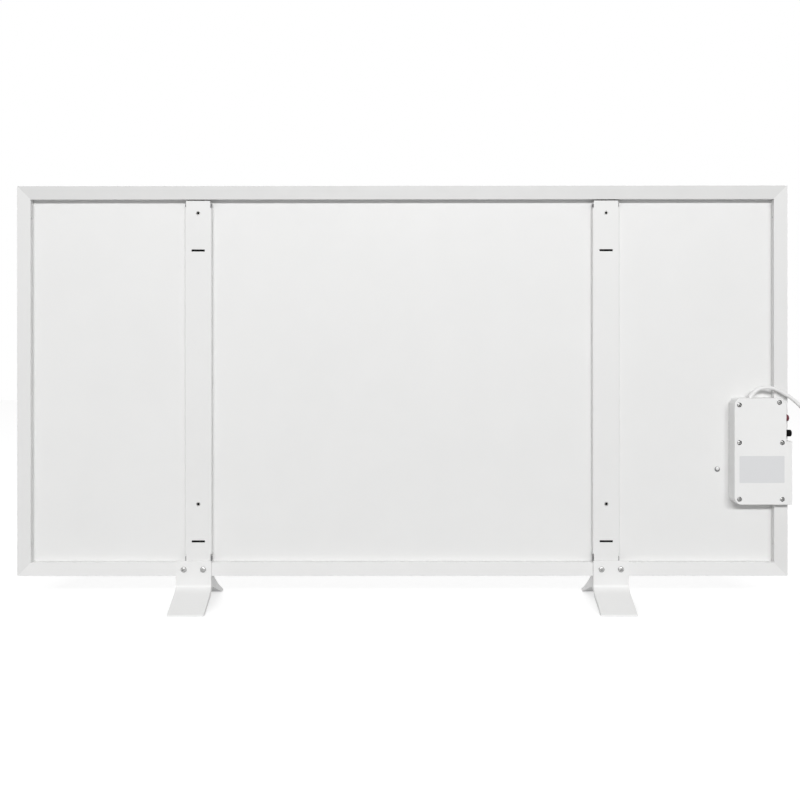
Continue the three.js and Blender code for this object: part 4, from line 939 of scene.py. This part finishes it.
def add_relief():
    """A short tapered sleeve on the cord where it leaves the box, bent as the cord is."""
    x, y, z = CORD_START
    bend, tilt = SLEEVE_BEND, math.radians(SLEEVE_TILT)
    points, radii = [], []
    steps = 18
    for i in range(steps + 1):
        s = SLEEVE_LENGTH * i / steps
        a = tilt + s / bend
        px = x + bend * (math.cos(tilt) - math.cos(a))
        pz = z + bend * (math.sin(a) - math.sin(tilt))
        points.append(Vector((px, y - 0.4 * s / SLEEVE_LENGTH, pz)) * MM)
        radii.append((CORD_RADIUS + 0.12 + 0.5 * (1 - i / steps) ** 0.8) * MM)
    points.insert(0, points[0] - (points[1] - points[0]))
    radii.insert(0, radii[0])
    radii[-1] = (CORD_RADIUS + 0.02) * MM
    new_piece("cord_sleeve", swept("cord_sleeve", points, radii, 28), "cord")


# ---------------------------------------------------------------- plug, tie and mitres
PLUG_SLEEVE = 24  # length of the ribbed sleeve and the shoulder
PLUG_RIBS = 5
PLUG_GRIP = 0.045  # share of the radius that the grips go in
TIE_WIDE = 2.6  # half its width
TIE_THICK = 0.5
TIE_ROUNDING = 3.2
TIE_CLEAR = 1.6  # between the turns and the tie's outer side
TAIL_RADIUS = 0.55
TAIL_STEPS = 24
TAIL_TURNS = 1.6
TAIL_PART = 0.55  # of the tails' length, where they part
MITRES = (("bottom", 46.6, 66.4), ("top", 650.4, 630.6))  # z at the outer and inner end
MITRE_OUTER = 596.9  # x there
MITRE_INNER = 577.1
MITRE_HALF = 0.62
MITRE_DEEP = 1.4
FRAME_FACE = -17.5


def add_plug():
    """The plug's moulded body: a ribbed sleeve, a gripped shell and a sunk face, along -X."""
    centre, low, high = centre_of("plug_body")
    full = (high[0] - low[0]) / MM
    radius = (high[2] - low[2]) / 2 / MM
    neck, rib_deep = 5.5, 0.7
    profile = [(0, 0), (3.6, 0), (4.6, 0.5)]
    for i in range(PLUG_RIBS):
        z = 1.6 + i * 2.6
        wide = neck - 0.5 + i * 0.12
        profile += [(wide, z), (wide, z + 1.3)]
        profile += [(wide - rib_deep, z + 1.5), (wide - rib_deep, z + 2.4)]
    profile += [(neck + 0.4, 15.2), (radius * 0.62, 18.4), (radius * 0.86, 21.5)]
    profile += [(radius * 0.95, PLUG_SLEEVE), (radius, PLUG_SLEEVE + 3), (radius, full - 5)]
    profile += [(radius * 0.985, full - 1.6), (radius - 1.4, full - 0.2), (radius - 2.2, full)]
    profile += [(radius - 3.0, full - 0.4), (radius - 3.2, full - 3), (0, full - 3)]
    bm = lathe(in_metres(profile), 96)
    for vertex in bm.verts:
        reach = math.hypot(vertex.co.x, vertex.co.y)
        on_shell = (PLUG_SLEEVE + 1) * MM < vertex.co.z < (full - 4) * MM
        if on_shell and reach > radius * 0.9 * MM:
            angle = math.atan2(vertex.co.y, vertex.co.x)
            grip = max(0.0, math.cos(2 * angle)) ** 2 * (0.5 + 0.5 * math.cos(24 * angle))
            scale = 1 - PLUG_GRIP * grip
            vertex.co.x *= scale
            vertex.co.y *= scale
    mesh = place_mesh(mesh_from("plug_shell", bm), (high[0], centre[1], centre[2]), (-1, 0, 0))
    return new_piece("plug_shell", mesh, "white_plastic", replaces=["plug_body"])


def tie_loop(middle, high):
    """The tie's outer side round the coil's turns, as (x, z) points with rounded corners."""
    half = COIL_RADIUS - COIL_MEAN + CORD_RADIUS + TIE_CLEAR
    left, right = middle - half + TIE_ROUNDING, middle + half - TIE_ROUNDING
    bottom, top = 0.02 + TIE_ROUNDING, high - TIE_ROUNDING
    loop = []
    for cx, cz, start in (
        (right, top, 0), (left, top, 90), (left, bottom, 180), (right, bottom, 270),
    ):
        for i in range(7):
            t = math.radians(start + 15 * i)
            loop.append((cx + TIE_ROUNDING * math.cos(t), cz + TIE_ROUNDING * math.sin(t)))
    return loop


def add_tie():
    """A flat tie round the coil's turns, with two twisted tails on top."""
    middle = COIL_CENTRE[0] - COIL_MEAN
    y = COIL_CENTRE[1]
    high = CORD_RADIUS * 2 + COIL_RISE + 0.7
    loop = tie_loop(middle, high)
    section = (  # across in millimetres, and inwards as a share of the thickness
        (-TIE_WIDE, 0.2), (-TIE_WIDE * 0.85, 0), (TIE_WIDE * 0.85, 0), (TIE_WIDE, 0.2),
        (TIE_WIDE, 0.8), (-TIE_WIDE, 0.8),
    )
    bm = bmesh.new()
    rings = []
    count = len(loop)
    for i, (px, pz) in enumerate(loop):
        qx, qz = loop[(i + 1) % count]
        ox, oz = loop[i - 1]
        along = Vector((qx - ox, 0, qz - oz)).normalized()
        inward = Vector((-along.z, 0, along.x))
        base = Vector((px, y, pz))
        rings.append([
            bm.verts.new((base + Vector((0, across, 0)) + inward * TIE_THICK * depth) * MM)
            for across, depth in section
        ])
    for i in range(count):
        one, other = rings[i], rings[(i + 1) % count]
        for k in range(len(section)):
            j = (k + 1) % len(section)
            bm.faces.new((one[k], one[j], other[j], other[k]))
    pieces = [new_piece("cord_tie", mesh_from("cord_tie", bm), "tie")]
    for letter, phase in (("b", math.pi), ("a", 0)):
        points = []
        for i in range(TAIL_STEPS + 1):
            t = i / TAIL_STEPS
            turn = 2 * math.pi * TAIL_TURNS * min(t / TAIL_PART, 1) + phase
            apart = 0.75 if t < TAIL_PART else 0.75 + 5.5 * (t - TAIL_PART)
            rise = abs(apart * math.sin(turn)) * 0.6 + 0.5 * math.sin(math.pi * t)
            place = (middle - 4 + 13 * t, y + apart * math.cos(turn), high + 0.4 + rise)
            points.append(Vector(place) * MM)
        name = "cord_tie_tail_" + letter
        mesh = swept(name, points, [TAIL_RADIUS * MM] * len(points), 10)
        pieces.append(new_piece(name, mesh, "tie"))
    return pieces


def add_mitre_fillers():
    """Paint in the frame's mitres, sunk a little below its face on the left and flush on the right."""
    for side, sign, sunk in (("left", -1, 0.10), ("right", 1, -0.004)):
        for level, outer, inner in MITRES:
            name = f"mitre_filler_{level}_{side}"
            a = Vector((sign * MITRE_OUTER, 0, outer))
            b = Vector((sign * MITRE_INNER, 0, inner))
            across = Vector((-(b - a).z, 0, (b - a).x)).normalized() * MITRE_HALF
            corners = [v * MM for v in (a - across, b - across, b + across, a + across)]
            through = Vector((FRAME_FACE + sunk, FRAME_FACE + MITRE_DEEP)) * MM
            mesh = slab(name, [(v.x, v.z) for v in corners], through)
            new_piece(name, mesh, f"frame_{side}_paint")


add_lid_screws()
add_foot_screws()
add_inserts()
add_sticker()
add_slot_shades()
add_rivet()
add_lamp()
add_button()
add_spring()
add_relief()
PLUG = add_plug()
TIE = add_tie()
add_notch_shades()
add_mitre_fillers()

# ---------------------------------------------------------------- light, floor and backdrop
bpy.context.scene.view_settings.view_transform = "Standard"
AMBIENT_LOW = 0.18  # from below the horizon
AMBIENT_HIGH = 0.07  # from above
AMBIENT_CHANGE = (-0.25, 0.35)  # Z of the direction where the change starts and ends
AMBIENT_SIDE = 0.55  # added towards +X and -X
FLOOR_SIZE = 6
FLOOR_Z = -0.0003
FLOOR_COLOUR = 0.45
FLOOR_GLOW = 0.69  # for background rays only: the floor stays white but keeps its shadows
STRIP_SIZE = (9.0, 1.1)
STRIP_DISTANCE = 12
STRIP_HEIGHT = 0.35  # of the point on the heater that it is turned to


def background_rays(tree):
    """1 where a camera, mirror or glass ray sees the surroundings, otherwise 0."""
    path = tree.nodes.new("ShaderNodeLightPath")
    first = tree.nodes.new("ShaderNodeMath")
    first.operation = "MAXIMUM"
    second = tree.nodes.new("ShaderNodeMath")
    second.operation = "MAXIMUM"
    tree.links.new(path.outputs["Is Camera Ray"], first.inputs[0])
    tree.links.new(path.outputs["Is Glossy Ray"], first.inputs[1])
    tree.links.new(first.outputs[0], second.inputs[0])
    tree.links.new(path.outputs["Is Transmission Ray"], second.inputs[1])
    return second.outputs[0]


def add_world():
    world = bpy.data.worlds.new("studio")
    bpy.context.scene.world = world
    world.use_nodes = True
    tree = world.node_tree
    tree.nodes.clear()
    out = tree.nodes.new("ShaderNodeOutputWorld")
    light = tree.nodes.new("ShaderNodeBackground")
    light.inputs["Color"].default_value = (1, 1, 1, 1)
    direction = tree.nodes.new("ShaderNodeTexCoord")
    parts = tree.nodes.new("ShaderNodeSeparateXYZ")
    height = tree.nodes.new("ShaderNodeMapRange")
    height.inputs["From Min"].default_value = AMBIENT_CHANGE[0]
    height.inputs["From Max"].default_value = AMBIENT_CHANGE[1]
    height.inputs["To Min"].default_value = AMBIENT_LOW
    height.inputs["To Max"].default_value = AMBIENT_HIGH
    tree.links.new(direction.outputs["Generated"], parts.inputs[0])
    tree.links.new(parts.outputs["Z"], height.inputs["Value"])
    side = tree.nodes.new("ShaderNodeMath")
    side.operation = "ABSOLUTE"
    tree.links.new(parts.outputs["X"], side.inputs[0])
    level = tree.nodes.new("ShaderNodeMath")
    level.operation = "MULTIPLY_ADD"
    tree.links.new(side.outputs[0], level.inputs[0])
    level.inputs[1].default_value = AMBIENT_SIDE
    tree.links.new(height.outputs["Result"], level.inputs[2])
    mix = tree.nodes.new("ShaderNodeMix")
    mix.data_type = "FLOAT"
    tree.links.new(background_rays(tree), mix.inputs["Factor"])
    tree.links.new(level.outputs[0], mix.inputs["A"])
    mix.inputs["B"].default_value = 1.0
    tree.links.new(mix.outputs["Result"], light.inputs["Strength"])
    tree.links.new(light.outputs[0], out.inputs["Surface"])


def add_floor():
    bm = bmesh.new()
    bmesh.ops.create_grid(bm, x_segments=8, y_segments=8, size=FLOOR_SIZE)
    mesh = bpy.data.meshes.new("floor")
    bm.to_mesh(mesh)
    bm.free()
    floor = bpy.data.objects.new("floor", mesh)
    floor.location.z = FLOOR_Z
    bpy.context.scene.collection.objects.link(floor)
    material = bpy.data.materials.new("floor")
    material.use_nodes = True
    tree = material.node_tree
    tree.nodes.clear()
    out = tree.nodes.new("ShaderNodeOutputMaterial")
    matte = tree.nodes.new("ShaderNodeBsdfDiffuse")
    matte.inputs["Color"].default_value = (FLOOR_COLOUR, FLOOR_COLOUR, FLOOR_COLOUR, 1)
    glow = tree.nodes.new("ShaderNodeEmission")
    glow.inputs["Color"].default_value = (1, 1, 1, 1)
    strength = tree.nodes.new("ShaderNodeMath")
    strength.operation = "MULTIPLY"
    strength.inputs[1].default_value = FLOOR_GLOW
    add = tree.nodes.new("ShaderNodeAddShader")
    tree.links.new(background_rays(tree), strength.inputs[0])
    tree.links.new(strength.outputs[0], glow.inputs["Strength"])
    tree.links.new(matte.outputs[0], add.inputs[0])
    tree.links.new(glow.outputs[0], add.inputs[1])
    tree.links.new(add.outputs[0], out.inputs["Surface"])
    mesh.materials.append(material)


def add_sun(name, towards, strength, spread):
    """towards points from the object to the light."""
    data = bpy.data.lights.new(name, "SUN")
    data.energy = strength
    data.angle = math.radians(spread)
    lamp = bpy.data.objects.new(name, data)
    lamp.rotation_mode = "QUATERNION"
    lamp.rotation_quaternion = Vector(towards).to_track_quat("Z", "Y")
    bpy.context.scene.collection.objects.link(lamp)


def add_strip(name, towards, power):
    """A long level strip of light: its shadows are crisp below an edge and soft beside one."""
    data = bpy.data.lights.new(name, "AREA")
    data.shape = "RECTANGLE"
    data.size, data.size_y = STRIP_SIZE
    data.energy = power
    lamp = bpy.data.objects.new(name, data)
    aim = Vector(towards).normalized()
    lamp.location = aim * STRIP_DISTANCE + Vector((0, 0, STRIP_HEIGHT))
    lamp.rotation_mode = "QUATERNION"
    lamp.rotation_quaternion = aim.to_track_quat("Z", "Y")
    bpy.context.scene.collection.objects.link(lamp)


add_world()
add_floor()
add_strip("key_light", (0.03, -0.916, 0.398), 1075)
add_sun("front_fill", (-0.3, 0.8, 0.6), 1.2, 60)
